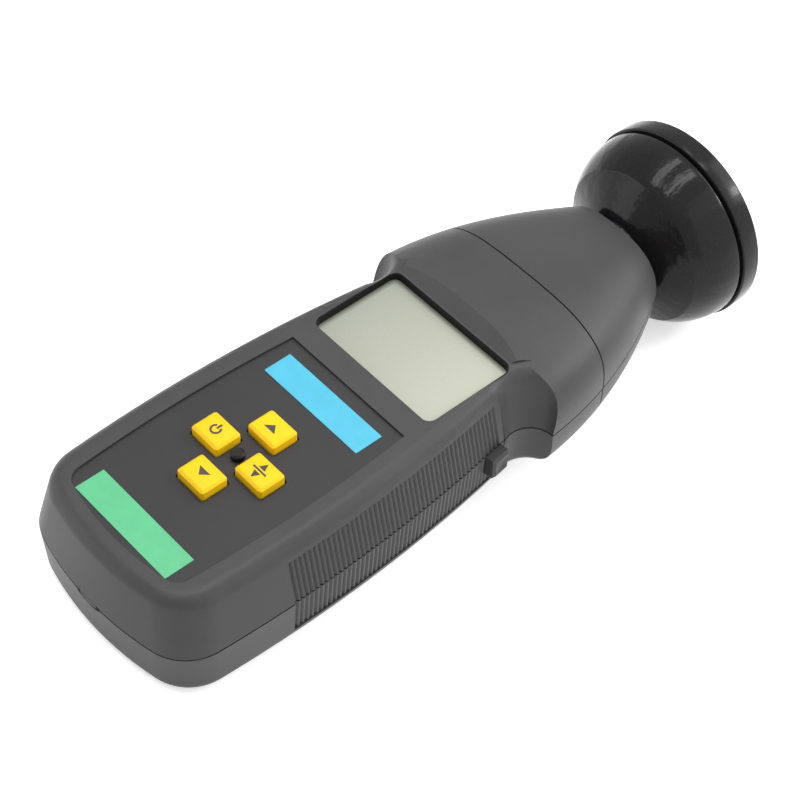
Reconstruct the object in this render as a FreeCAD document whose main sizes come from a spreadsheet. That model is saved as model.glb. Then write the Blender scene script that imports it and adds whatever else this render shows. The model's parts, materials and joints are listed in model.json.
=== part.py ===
import FreeCAD, Part
import math
import os
import re

import Sketcher
from FreeCAD import Placement, Rotation, Vector

# Hand-held xenon stroboscope: a moulded housing with a ribbed grip, a display, four keys,
# a side button, a battery bay and a round lamp head on a tapered nose.
#
# Every piece is drawn in the housing's own frame, in millimetres: x across the housing,
# y from the rear end towards the lamp, z up from the flat back. The last step lays the
# whole object down as it rests on a table, on its rear edge and on the rim of the lamp.

# Driving dimensions, in millimetres and degrees
SIZES = {
    # Housing
    "housing_depth": 37.0,
    "parting_level": 17.5,
    "half_width": 37.0,
    "widest_station": 38.0,
    "side_arc_radius": 475.0,
    "rear_crown": 12.4,
    "heel_land": 0.1,
    "rear_arc_radius": 105.0,
    "corner_radius": 15.0,
    "upper_draft": 12.0,
    "lower_draft": 3.5,
    "edge_radius": 5.0,
    "wall": 2.0,
    "face_wall": 2.4,
    "seam_gap": 0.2,
    "lip_depth": 1.5,
    "fit_gap": 0.3,
    # Flare, scoops and nose
    "scoop_station": 113.0,
    "scoop_radius": 8.0,
    "scoop_bite": 0.35,
    "slope_station": 118.0,
    "slope_angle": 27.0,
    "flare_station": 115.0,
    "flare_half_width": 39.2,
    "flare_crown": 2.4,
    "seam_station": 144.5,
    "nose_station": 182.0,
    "nose_half_width": 19.7,
    "nose_top_drop": 3.6,
    "nose_back_rise": 0.5,
    "back_sag": 1.5,
    "spigot_depth": 3.5,
    # Grip ribs
    "rib_band_start": 28.6,
    "rib_band_end": 109.6,
    "rib_band_depth": 0.3,
    "rib_start": 29.5,
    "rib_pitch": 1.65,
    "rib_count": 48,
    "rib_groove_width": 1.15,
    "rib_groove_depth": 0.5,
    # Rear tongue in the parting line
    "tongue_half_width": 4.5,
    "tongue_depth": 1.0,
    # Face panel and labels
    "panel_side_inset": 11.5,
    "panel_rear_inset": 9.8,
    "panel_corner": 5.0,
    "panel_end": 77.9,
    "recess_depth": 1.2,
    "plate_thickness": 0.5,
    "label_thickness": 0.2,
    "label_half_width": 19.6,
    "blue_label_start": 64.2,
    "blue_label_end": 73.4,
    "green_label_start": -0.3,
    "green_label_end": 9.1,
    # Keys
    "key_width": 11.3,
    "key_length": 8.9,
    "key_chamfer": 0.5,
    "key_height": 2.5,
    "key_flange": 0.9,
    "key_flange_thickness": 1.0,
    "key_travel": 1.0,
    "key_row": 39.2,
    "key_offset_across": 9.4,
    "key_offset_along": 12.05,
    "stud_radius": 2.0,
    "stud_height": 1.5,
    "stud_pin_radius": 1.2,
    # Display
    "window_half_width": 24.85,
    "window_start": 85.6,
    "window_end": 117.4,
    "window_corner": 3.0,
    "display_margin": 0.5,
    "display_thickness": 2.8,
    "frame_rim": 0.8,
    # Main board and what it carries
    "main_board_level": 26.0,
    "board_thickness": 1.6,
    "main_board_half_width": 24.5,
    "main_board_start": 12.0,
    "main_board_end": 121.0,
    "switch_side": 6.0,
    "switch_plunger_radius": 1.75,
    "board_post_radius": 2.5,
    "board_post_inset": 3.5,
    "board_screw_radius": 1.0,
    "chip_side": 12.0,
    "chip_height": 1.8,
    # Side button
    "button_station": 104.75,
    "button_length": 6.6,
    "button_low": 10.0,
    "button_proud": 3.0,
    "button_flange": 1.2,
    "button_travel": 1.0,
    "dimple_radius": 7.0,
    "dimple_depth": 0.6,
    # Battery bay
    "cell_radius": 7.25,
    "cell_length": 49.5,
    "cell_pitch": 14.8,
    "bay_start": 11.0,
    "bay_length": 56.5,
    "bay_wall": 1.2,
    "door_thickness": 1.6,
    "door_half_width": 29.6,
    "door_gap": 0.25,
    "hook_half_width": 2.0,
    "hook_station": 14.8,
    "hook_reach": 1.2,
    "hook_level": 3.1,
    "hook_thickness": 0.9,
    "plate_gap": 0.3,
    "contact_thickness": 0.4,
    "cell_nub": 1.0,
    "bay_ledge": 1.0,
    # Screws
    "screw_radius": 1.45,
    "screw_head_radius": 2.7,
    "screw_head": 2.0,
    "screw_length": 16.0,
    "boss_radius": 4.2,
    "rear_screw_across": 24.0,
    "rear_screw_station": 1.5,
    "front_screw_across": 26.0,
    "front_screw_station": 131.0,
    "nose_screw_across": 21.5,
    "nose_screw_station": 155.0,
    "head_sink": 8.0,
    # Lamp head
    "neck_radius": 12.5,
    "neck_bore": 10.5,
    "neck_start": 166.0,
    "neck_end": 185.0,
    "collar_start": 173.5,
    "collar_thickness": 3.5,
    "neck_flange": 2.0,
    "neck_flange_thickness": 1.8,
    "bowl_back_radius": 25.8,
    "bowl_back_station": 191.9,
    "bowl_radius": 31.2,
    "bowl_end": 206.2,
    "bowl_wall": 2.0,
    "bowl_bulge_radius": 22.0,
    "ring_gap": 1.0,
    "ring_radius": 32.0,
    "ring_end": 213.8,
    "ring_wall": 2.4,
    "ring_lip_radius": 27.2,
    "ring_lip": 0.9,
    "ring_chamfer": 0.5,
    "glass_thickness": 2.0,
    "gasket_thickness": 0.6,
    "reflector_focus": 10.6,
    "reflector_back": 193.6,
    "reflector_wall": 0.8,
    "reflector_bore": 6.5,
    "tube_radius": 2.0,
    "tube_spread": 4.0,
    "tube_tip": 205.0,
    "socket_radius": 9.0,
    "socket_start": 186.0,
    "socket_thickness": 5.0,
    "lamp_board_radius": 9.8,
    "lamp_board_station": 181.5,
    # Power board
    "power_board_level": 7.0,
    "power_board_start": 73.0,
    "power_board_end": 124.0,
    "power_board_half_width": 22.0,
    "capacitor_radius": 8.0,
    "capacitor_length": 34.0,
    "lead_radius": 0.8,
}

# Sizes that follow from the driving ones, as formulas on the sheet
FORMULAS = {
    "face_level": "housing_depth",
    "ceiling_level": "housing_depth - face_wall",
    "panel_floor": "housing_depth - recess_depth",
    "plate_top": "panel_floor + plate_thickness",
    "bay_end": "bay_start + bay_length",
    "hinge_station": "bay_end - door_gap - door_thickness / 2",
    "cell_room_start": "bay_start + plate_gap + contact_thickness",
    "cell_room_end": "bay_end - plate_gap - contact_thickness",
    "spring_length": "cell_room_end - cell_room_start - cell_length - cell_nub",
    "ring_start": "bowl_end + ring_gap",
    "glass_end": "ring_end - ring_lip",
    "glass_start": "glass_end - glass_thickness",
    "gasket_start": "glass_start - gasket_thickness",
    "spigot_radius": "ring_radius - ring_wall - fit_gap / 3",
    "board_top": "main_board_level + board_thickness",
    "power_board_top": "power_board_level + board_thickness",
}

doc = FreeCAD.newDocument("stroboscope")
dims = doc.addObject("Spreadsheet::Sheet", "dims")
for row, (alias, number) in enumerate(SIZES.items(), start=1):
    dims.set(f"A{row}", alias)
    dims.set(f"B{row}", str(number))
    dims.setAlias(f"B{row}", alias)
doc.recompute()

nodes = {}


def linked(formula):
    """Write a formula on plain size names as an expression on the sheet's cells."""
    def link(match):
        word = match.group(0)
        if word in FORMULAS:
            return "(" + linked(FORMULAS[word]) + ")"
        return "dims." + word if word in SIZES else word
    return re.sub(r"[a-z_]+", link, str(formula))


def size(formula):
    """Work out a formula's value from the sheet."""
    return float(dims.evalExpression(linked(formula)))


def bind(feature, **formulas):
    """Tie a feature's sizes to the sheet."""
    for name, formula in formulas.items():
        feature.setExpression(name, linked(formula))


def keep(name, feature):
    """Record a finished piece under its node name, free of the places bound inside it."""
    if feature.TypeId in ("Part::Box", "Part::Cylinder"):
        feature = group(name, [feature])
    feature.Label = name
    nodes[name] = feature
    return feature


def keep_shape(name, shape):
    """Record a piece whose form comes from lofts and booleans of this script."""
    feature = doc.addObject("Part::Feature", name)
    feature.Shape = shape
    return keep(name, feature)


# Part primitives bound to the sheet


def at(feature, across="0", along="0", up="0"):
    """Tie a feature's place to the sheet."""
    feature.setExpression("Placement.Base.x", linked(across))
    feature.setExpression("Placement.Base.y", linked(along))
    feature.setExpression("Placement.Base.z", linked(up))
    return feature


def block(across, along, up, low):
    """Box with its sizes and its low corner, or its centre across, bound to the sheet."""
    box = doc.addObject("Part::Box", "block")
    bind(box, Length=across, Width=along, Height=up)
    return at(box, *low)


def rod(radius, height, base, axis=Vector(0, 0, 1)):
    """Cylinder from a bound base point along an axis."""
    cylinder = doc.addObject("Part::Cylinder", "rod")
    cylinder.Placement.Rotation = Rotation(Vector(0, 0, 1), axis)
    bind(cylinder, Radius=radius, Height=height)
    return at(cylinder, *base)


def union(name, pieces):
    """Fuse of several features."""
    fuse = doc.addObject("Part::MultiFuse", name)
    fuse.Shapes = pieces
    return fuse


def minus(name, base, tool):
    """Cut of one feature from another."""
    cut = doc.addObject("Part::Cut", name)
    cut.Base = base
    cut.Tool = tool
    return cut


def group(name, pieces):
    """Separate identical solids kept together in one node."""
    compound = doc.addObject("Part::Compound", name)
    compound.Links = pieces
    return compound


# PartDesign bodies with bound sketches


def plane_of(body, role):
    """One of a body's own origin planes."""
    return next(item for item in body.Origin.OriginFeatures if item.Role == role)


def outline_sketch(body, name, role, corners, lift="0"):
    """Closed outline whose corners are all bound to the sheet.

    A corner is (x, y), or (x, y, radius, side) where an arc leaves it: side is 1 where the
    arc bulges to the left of its run and -1 where it bulges to the right.
    """
    sketch = body.newObject("Sketcher::SketchObject", name)
    sketch.AttachmentSupport = (plane_of(body, role), [""])
    sketch.MapMode = "FlatFace"
    sketch.setExpression("AttachmentOffset.Base.z", linked(lift))
    points = [Vector(size(corner[0]), size(corner[1]), 0) for corner in corners]
    ends = []
    for index, corner in enumerate(corners):
        start, end = points[index], points[(index + 1) % len(points)]
        if len(corner) == 2:
            geometry = Part.LineSegment(start, end)
        else:
            chord = end - start
            left = Vector(-chord.y, chord.x, 0).normalize() * corner[3]
            radius = size(corner[2])
            rise = radius - math.sqrt(radius ** 2 - (chord.Length / 2) ** 2)
            geometry = Part.ArcOfCircle(start, (start + end) / 2 + left * rise, end)
        number = sketch.addGeometry(geometry, False)
        forward = sketch.getPoint(number, 1).distanceToPoint(start) < 1e-6
        ends.append((1, 2) if forward else (2, 1))
    for index, corner in enumerate(corners):
        after = (index + 1) % len(corners)
        sketch.addConstraint(
            Sketcher.Constraint("Coincident", index, ends[index][1], after, ends[after][0]))
        for kind, axis, formula, value in (
                ("DistanceX", "x", corner[0], points[index].x),
                ("DistanceY", "y", corner[1], points[index].y)):
            number = sketch.addConstraint(
                Sketcher.Constraint(kind, -1, 1, index, ends[index][0], value))
            sketch.renameConstraint(number, f"{axis}{index}")
            sketch.setExpression(f"Constraints.{axis}{index}", linked(formula))
        if len(corner) > 2:
            number = sketch.addConstraint(
                Sketcher.Constraint("Radius", index, size(corner[2])))
            sketch.renameConstraint(number, f"arc{index}")
            sketch.setExpression(f"Constraints.arc{index}", linked(corner[2]))
    return sketch


def new_body(name):
    """Empty PartDesign body."""
    return doc.addObject("PartDesign::Body", name)


def turned(name, corners):
    """Body of revolution about the lamp axis: corners are (radius, station)."""
    body = new_body(name)
    sketch = outline_sketch(body, name + "_profile", "XY_Plane", corners, "parting_level")
    revolution = body.newObject("PartDesign::Revolution", name + "_turn")
    revolution.Profile = sketch
    revolution.ReferenceAxis = (sketch, ["V_Axis"])
    revolution.Angle = 360
    return body


def pad(body, name, corners, lift, height):
    """Pad of an outline in the plan, from a bound level up."""
    sketch = outline_sketch(body, name + "_outline", "XY_Plane", corners, lift)
    feature = body.newObject("PartDesign::Pad", name)
    feature.Profile = sketch
    bind(feature, Length=height)
    return feature


def pocket(body, name, corners, lift, depth):
    """Pocket of an outline in the plan, from a bound level down."""
    sketch = outline_sketch(body, name + "_outline", "XY_Plane", corners, lift)
    feature = body.newObject("PartDesign::Pocket", name)
    feature.Profile = sketch
    bind(feature, Length=depth)
    return feature


def rectangle(low_x, low_y, high_x, high_y):
    """Corners of a bound rectangle."""
    return [(low_x, low_y), (high_x, low_y), (high_x, high_y), (low_x, high_y)]


def chamfer_top(body, name, amount):
    """Chamfer of every edge of the body's highest face."""
    doc.recompute()
    shape = body.Shape
    top, last = shape.BoundBox.ZMax, body.Tip
    edges = [f"Edge{number}" for number, edge in enumerate(shape.Edges, start=1)
             if edge.BoundBox.ZMin > top - 1e-4]
    feature = body.newObject("PartDesign::Chamfer", name)
    feature.Base = (last, edges)
    bind(feature, Size=amount)
    return feature


# Housing forms


def circle_meet(first, first_radius, second, second_radius):
    """Meeting point of two circles on the side of larger x and smaller y."""
    span = second - first
    along = (first_radius ** 2 - second_radius ** 2 + span.Length ** 2) / (2 * span.Length)
    off = math.sqrt(first_radius ** 2 - along ** 2)
    unit = Vector(span).normalize()
    foot = first + unit * along
    sides = [foot + Vector(-unit.y, unit.x, 0) * off, foot - Vector(-unit.y, unit.x, 0) * off]
    return max(sides, key=lambda point: point.x - point.y)


SIDE_CENTRE = Vector(size("half_width - side_arc_radius"), size("widest_station"), 0)
REAR_CENTRE = Vector(0, size("rear_arc_radius - rear_crown"), 0)


def side_reach(station, inset=0.0):
    """Half-width of the grip at the parting line."""
    radius = size("side_arc_radius") - inset
    return SIDE_CENTRE.x + math.sqrt(radius ** 2 - (station - SIDE_CENTRE.y) ** 2)


def plan_wire(level, side_inset, rear_inset, corner, end):
    """Plan outline of arcs: rear crown, corners and sides, closed by a straight front."""
    side_radius = size("side_arc_radius") - side_inset
    rear_radius = size("rear_arc_radius") - rear_inset
    centre = circle_meet(REAR_CENTRE, rear_radius - corner, SIDE_CENTRE, side_radius - corner)
    on_rear = centre + (centre - REAR_CENTRE).normalize() * corner
    on_side = centre + (centre - SIDE_CENTRE).normalize() * corner
    on_corner = centre + ((on_rear + on_side) / 2 - centre).normalize() * corner
    front = Vector(SIDE_CENTRE.x + math.sqrt(side_radius ** 2 - (end - SIDE_CENTRE.y) ** 2), end, 0)
    on_flank = SIDE_CENTRE + ((front + on_side) / 2 - SIDE_CENTRE).normalize() * side_radius
    lift = Vector(0, 0, level)

    def left(point):
        return Vector(-point.x, point.y, point.z)

    right_points = [front, on_flank, on_side, on_corner, on_rear]
    front, on_flank, on_side, on_corner, on_rear = [point + lift for point in right_points]
    crown = Vector(0, REAR_CENTRE.y - rear_radius, level)
    arcs = [
        Part.Arc(front, on_flank, on_side),
        Part.Arc(on_side, on_corner, on_rear),
        Part.Arc(on_rear, crown, left(on_rear)),
        Part.Arc(left(on_rear), left(on_corner), left(on_side)),
        Part.Arc(left(on_side), left(on_flank), left(front)),
    ]
    edges = [arc.toShape() for arc in arcs]
    edges.append(Part.LineSegment(left(front), front).toShape())
    return Part.Wire(edges)


def cone_about(centre, radius, level, draft):
    """Upright cone that narrows from the parting level by the draft, past a level."""
    parting = size("parting_level")
    way = 1 if level > parting else -1
    narrow = radius - abs(level - parting) * math.tan(math.radians(draft))
    low, high = (radius, narrow) if way > 0 else (narrow, radius)
    return Part.makeCone(low, high, abs(level - parting),
                         Vector(centre.x, centre.y, min(level, parting)))


def grip_half(inset, level, draft, edge_radius, end):
    """Drafted half of the grip: its sides and rear are cones that meet in rounded corners."""
    side_radius = size("side_arc_radius") - inset
    half = cone_about(SIDE_CENTRE, side_radius, level, draft)
    half = half.common(cone_about(-SIDE_CENTRE + 2 * Vector(0, SIDE_CENTRE.y, 0),
                                  side_radius, level, draft))
    half = half.common(box_between((-60, -60, -5), (60, end, 60)))
    rear_room = cone_about(REAR_CENTRE, size("rear_arc_radius") - inset, level, draft)
    half = half.common(rear_room).Solids[0]
    corners = [edge for edge in half.Edges
               if edge.BoundBox.ZLength > 10 and edge.BoundBox.YMax < 20
               and abs(edge.CenterOfMass.x) > 20]
    half = half.makeFillet(size("corner_radius") - inset, corners)
    rim = [edge for edge in half.Edges
           if abs(edge.BoundBox.ZMin - level) < 1e-3 and abs(edge.BoundBox.ZMax - level) < 1e-3
           and edge.BoundBox.YMin < end - 1e-3]
    return half.makeFillet(edge_radius, rim)


def nose_points(station, inset, way):
    """Points of a half section of the flare and nose, above or below the parting level.

    The section is a superellipse. Its half-width, top and back follow parabolas along the
    nose, and its corners round off towards the lamp. Its radius at an angle is
    (|cos/a|^n + |sin/b|^n)^(-1/n).
    """
    share = ((station - size("flare_station")) / size("nose_station - flare_station")) ** 2
    across = size("flare_half_width") - size("flare_half_width - nose_half_width") * share - inset
    if way > 0:
        crown = size("flare_crown") - size("flare_crown + nose_top_drop") * share
        height, power = size("housing_depth - parting_level") + crown - inset, 3.1 - 0.6 * share
    else:
        sag = size("back_sag") - size("back_sag + nose_back_rise") * share
        height, power = size("parting_level") + sag - inset, 3.8 - 1.3 * share
    count = 10
    points = []
    for index in range(count + 1):
        angle = math.pi * index / count
        cosine, sine = math.cos(angle), math.sin(angle)
        radius = (abs(cosine / across) ** power + abs(sine / height) ** power) ** (-1 / power)
        points.append(Vector(radius * cosine, station,
                             size("parting_level") + way * radius * sine))
    return points


def nose_wire(station, inset, way):
    """Closed half section, its curve spaced as the widest section is so that all of them match."""
    points = nose_points(station, inset, way)
    widest = nose_points(size("flare_station"), 0.0, way)
    knots = [0.0]
    for before, after in zip(widest, widest[1:]):
        knots.append(knots[-1] + (after - before).Length)
    speed = (points[1] - points[0]).Length / (knots[1] - knots[0])
    curve = Part.BSplineCurve()
    curve.interpolate(Points=points, Parameters=knots, InitialTangent=Vector(0, 0, way * speed),
                      FinalTangent=Vector(0, 0, -way * speed), Scale=False)
    return Part.Wire([curve.toShape(), Part.LineSegment(points[-1], points[0]).toShape()])


def nose_half(inset, start, end, way):
    """Smooth solid through half sections of the flare and nose."""
    steps = max(3, round((end - start) / 16) + 1)
    stations = [start + (end - start) * step / (steps - 1) for step in range(steps)]
    sections = [nose_wire(station, inset, way) for station in stations]
    return Part.makeLoft(sections, True, False)


def scoop_tool(inset, top, bottom, edge_radius):
    """Round tool of the concave scoop beside the flare, drafted as the walls it joins."""
    parting = size("parting_level")
    radius = size("scoop_radius") + inset
    far = 30.0
    rims = []
    for level, draft in ((top, size("upper_draft")), (bottom, size("lower_draft"))):
        way = 1 if level > parting else -1
        turn = math.radians(draft)
        centre_level = level - way * edge_radius
        centre = radius + abs(centre_level - parting) * math.tan(turn) + edge_radius / math.cos(turn)
        foot = Vector(centre - edge_radius * math.cos(turn), 0,
                      centre_level + way * edge_radius * math.sin(turn))
        half_turn = (math.pi / 2 - turn) / 2
        middle = Vector(centre - edge_radius * math.sin(half_turn), 0,
                        centre_level + way * edge_radius * math.cos(half_turn))
        rims.append((foot, middle, Vector(centre, 0, level)))
    (upper_foot, upper_middle, upper_edge), (lower_foot, lower_middle, lower_edge) = rims
    waist = Vector(radius, 0, parting)
    top_edge, top_axis = Vector(upper_edge.x, 0, top + far), Vector(0, 0, top + far)
    low_axis, low_edge = Vector(0, 0, bottom - far), Vector(lower_edge.x, 0, bottom - far)
    edges = [
        Part.LineSegment(waist, upper_foot).toShape(),
        Part.Arc(upper_foot, upper_middle, upper_edge).toShape(),
        Part.makePolygon([upper_edge, top_edge, top_axis, low_axis, low_edge, lower_edge]),
        Part.Arc(lower_edge, lower_middle, lower_foot).toShape(),
        Part.LineSegment(lower_foot, waist).toShape(),
    ]
    face = Part.Face(Part.Wire([edge for part in edges for edge in part.Edges]))
    tool = face.revolve(Vector(0, 0, 0), Vector(0, 0, 1), 360)
    reach = side_reach(size("scoop_station")) + size("scoop_radius - scoop_bite")
    left = tool.translated(Vector(-reach, size("scoop_station"), 0))
    return [left, left.mirror(Vector(0, 0, 0), Vector(1, 0, 0))]


def box_between(low, high):
    """Box from its low corner to its high corner."""
    return Part.makeBox(high[0] - low[0], high[1] - low[1], high[2] - low[2], Vector(*low))


def slope_tool(ceiling):
    """Wedge above the face and above the slope that climbs from the window to the crest."""
    foot, rise, far = size("slope_station"), 20.0, 100.0
    climb = rise * math.tan(math.radians(size("slope_angle")))
    outline = [Vector(-far, 60, ceiling), Vector(-far, foot, ceiling),
               Vector(-far, foot + rise, ceiling + climb), Vector(-far, foot + rise, far),
               Vector(-far, 60, far), Vector(-far, 60, ceiling)]
    return Part.Face(Part.makePolygon(outline)).extrude(Vector(2 * far, 0, 0))


def housing_half(inset, level, edge_radius, way):
    """Half of the housing above or below the parting level, to past the seam with the nose."""
    draft = size("upper_draft" if way > 0 else "lower_draft")
    grip = grip_half(inset, level, draft, edge_radius, size("scoop_station") + 12.0).Solids[0]
    extra = min(inset, 1.0)
    flare = nose_half(inset, size("scoop_station") - extra,
                      size("seam_station - seam_gap / 2") + extra, way)
    beyond = slope_tool(level) if way > 0 else box_between((-60, 60, -60), (60, 200, level))
    half = grip.fuse(flare.cut(beyond).Solids[0]).Solids[0]
    levels = (level, 0.0) if way > 0 else (size("face_level"), level)
    for tool in scoop_tool(inset, *levels, edge_radius):
        half = half.cut(tool).Solids[0]
    return half


def ribbed(skin, way):
    """Sink a band into both sides of a half and cut upright grooves down it.

    One groove is drawn and turned about the side's arc. Band and grooves stop short of the
    rounded edge.
    """
    parting, depth, sink = size("parting_level"), size("rib_groove_depth"), size("rib_band_depth")
    radius, reach = size("side_arc_radius") - sink, 0.5
    draft = size("upper_draft" if way > 0 else "lower_draft")
    height = size("housing_depth - parting_level" if way > 0 else "parting_level")
    height -= size("edge_radius") - 0.2
    levels = sorted((parting - way * 0.1, parting + way * height))
    band = box_between((20, size("rib_band_start"), levels[0]),
                       (60, size("rib_band_end"), levels[1]))
    band = band.cut(cone_about(SIDE_CENTRE, radius, size("face_level") * max(way, 0), draft))
    widening = size("rib_groove_width") / 2 * (1 + reach / depth)
    low, lean = parting - way * 0.1, height * math.tan(math.radians(draft))
    corners = [Vector(radius - depth, 0, low), Vector(radius + reach, widening, low),
               Vector(radius + reach, -widening, low)]
    face = Part.Face(Part.makePolygon(corners + corners[:1]))
    groove = face.extrude(Vector(-lean, 0, way * height)).translated(SIDE_CENTRE)
    first = math.asin((size("rib_start") - SIDE_CENTRE.y) / radius)
    right = [band]
    for index in range(int(size("rib_count"))):
        angle = math.degrees(first + index * size("rib_pitch") / radius)
        right.append(groove.rotated(SIDE_CENTRE, Vector(0, 0, 1), angle))
    left = [tool.mirror(Vector(0, 0, 0), Vector(1, 0, 0)) for tool in right]
    skin = skin.cut([right[0], left[0]])
    return skin.cut(Part.makeCompound(right[1:] + left[1:])).Solids[0]


def rounded_block(half_width, start, end, corner, low, high):
    """Block with rounded upright corners, symmetric across the housing."""
    block_shape = box_between((-half_width, start, low), (half_width, end, high))
    upright = [edge for edge in block_shape.Edges if edge.BoundBox.ZLength > high - low - 1e-6]
    return block_shape.makeFillet(corner, upright)


def pillar(radius, across, along, low, high):
    """Upright cylinder between two levels."""
    return Part.makeCylinder(radius, high - low, Vector(across, along, low))


KEYS = {
    "key_power": ("0 - key_offset_across", "key_row"),
    "key_up": ("0", "key_row + key_offset_along"),
    "key_down": ("0", "key_row - key_offset_along"),
    "key_fine": ("key_offset_across", "key_row"),
}

SHELL_SCREWS = [(side + across, along)
                for along, across in (("rear_screw_station", "rear_screw_across"),
                                      ("front_screw_station", "front_screw_across"))
                for side in ("", "0 - ")]
NOSE_SCREWS = [(side + "nose_screw_across", "nose_screw_station") for side in ("", "0 - ")]
BOARD_SCREWS = [(side + "(main_board_half_width - board_post_inset)", along)
                for along in ("main_board_start + board_post_inset",
                              "panel_end + board_post_inset / 2")
                for side in ("", "0 - ")]

# Direction square to the side wall where the side button sits
BUTTON_ANGLE = math.degrees(math.asin((size("button_station") - SIDE_CENTRE.y)
                                      / size("side_arc_radius")))


def on_button(shape):
    """Turn a shape made along +x at the widest station round to the side button's place."""
    return shape.rotated(SIDE_CENTRE, Vector(0, 0, 1), BUTTON_ANGLE)


def button_block(inner, outer, margin, low, high):
    """Block square to the side wall, between two distances from the outline."""
    half = size("button_length") / 2 + margin
    face, station = size("half_width"), size("widest_station")
    return on_button(box_between((face - inner, station - half, low),
                                 (face + outer, station + half, high)))


def key_hole(across, along, margin, low, high):
    """Upright hole or collar around one key."""
    half_x = size("key_width") / 2 + margin
    half_y = size("key_length") / 2 + margin
    centre = Vector(size(across), size(along), 0)
    hole = box_between((-half_x, -half_y, low), (half_x, half_y, high))
    upright = [edge for edge in hole.Edges if edge.BoundBox.ZLength > high - low - 1e-6]
    return hole.makeFillet(0.8, upright).translated(centre)


def carve(shape, tools):
    """Cut several tools one after another and keep the one solid that is left."""
    for tool in tools:
        shape = shape.cut(tool)
    return max(shape.Solids, key=lambda solid: solid.Volume)


def join(shape, pieces):
    """Fuse several pieces one after another into one solid."""
    for piece in pieces:
        shape = shape.fuse(piece)
    return max(shape.Solids, key=lambda solid: solid.Volume)


def lip_ring(outer_inset, inner_inset, low, high):
    """Upright band inside the grip's wall, open towards the flare."""
    end = size("scoop_station") - 2
    corner = size("corner_radius")

    def core(inset):
        wire = plan_wire(low, inset, inset, corner - inset, end)
        return Part.Face(wire).extrude(Vector(0, 0, high - low))

    front_strip = box_between((-60, end - 4, low - 1), (60, end + 1, high + 1))
    return core(outer_inset).cut(core(inner_inset)).cut(front_strip).Solids[0]


def build_front_shell():
    """Front shell: face with its recess, window and key holes, ribbed sides and posts."""
    wall, parting, gap = size("wall"), size("parting_level"), size("fit_gap")
    ceiling, start = size("ceiling_level"), parting + size("seam_gap") / 2
    trim = box_between((-60, -60, start), (60, size("seam_station - seam_gap / 2"), 100))
    outer = housing_half(0.0, size("face_level"), size("edge_radius"), 1)
    inner = housing_half(wall, ceiling, size("edge_radius") - wall, 1)
    skin = ribbed(outer.cut(inner).common(trim).Solids[0], 1)

    lip = lip_ring(wall / 2 + 0.2, wall, parting - size("lip_depth"), parting + 0.6)
    tongue = box_between((-size("tongue_half_width"), -60, parting - size("tongue_depth")),
                         (size("tongue_half_width"), 0, parting + 1))
    lower_wall = Part.Face(plan_wire(parting - size("tongue_depth"), 0.1, 0.1,
                                     size("corner_radius") - 0.1, 20))
    lower_wall = lower_wall.extrude(Vector(0, 0, size("tongue_depth") + 0.3))
    room = Part.Face(plan_wire(0, wall, wall, size("corner_radius") - wall, 20))
    room = room.extrude(Vector(0, 0, 40))
    tongue = tongue.common(lower_wall).cut(room).Solids[0]
    posts = [pillar(size("boss_radius"), size(x), size(y), start, ceiling + 1)
             for x, y in SHELL_SCREWS]
    posts += [pillar(size("board_post_radius"), size(x), size(y), size("board_top"), ceiling + 1)
              for x, y in BOARD_SCREWS]
    shell = join(skin, [lip, tongue] + [post.common(outer) for post in posts])

    pilot_top = size("head_sink + screw_head + screw_length + 1")
    cuts = [pillar(size("screw_radius + 0.05"), size(x), size(y), parting - 2, pilot_top)
            for x, y in SHELL_SCREWS]
    cuts += [pillar(size("board_screw_radius + 0.05"), size(x), size(y), 20, ceiling - 0.5)
             for x, y in BOARD_SCREWS]
    recess = plan_wire(size("panel_floor"), size("panel_side_inset"), size("panel_rear_inset"),
                       size("panel_corner"), size("panel_end"))
    cuts.append(Part.Face(recess).extrude(Vector(0, 0, 10)))
    cuts.append(rounded_block(size("window_half_width"), size("window_start"),
                              size("window_end"), size("window_corner"), ceiling - 2, 60))
    margin = size("display_margin + frame_rim") + gap
    cuts.append(box_between((-size("window_half_width") - margin,
                             size("window_start") - margin, size("board_top")),
                            (size("window_half_width") + margin,
                             size("window_end") + margin, ceiling)))
    cuts += [key_hole(x, y, gap, 30, 60) for x, y in KEYS.values()]
    cuts.append(pillar(size("stud_pin_radius + 0.05"), 0, size("key_row"), 20, 60))
    cuts.append(button_block(wall + 8, -wall, gap + size("button_flange"),
                             size("button_low"), start + 0.6))
    cuts.append(button_block(wall + 8, 1, gap, size("button_low"), start))
    keep_shape("front_shell", carve(shell, cuts))


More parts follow.
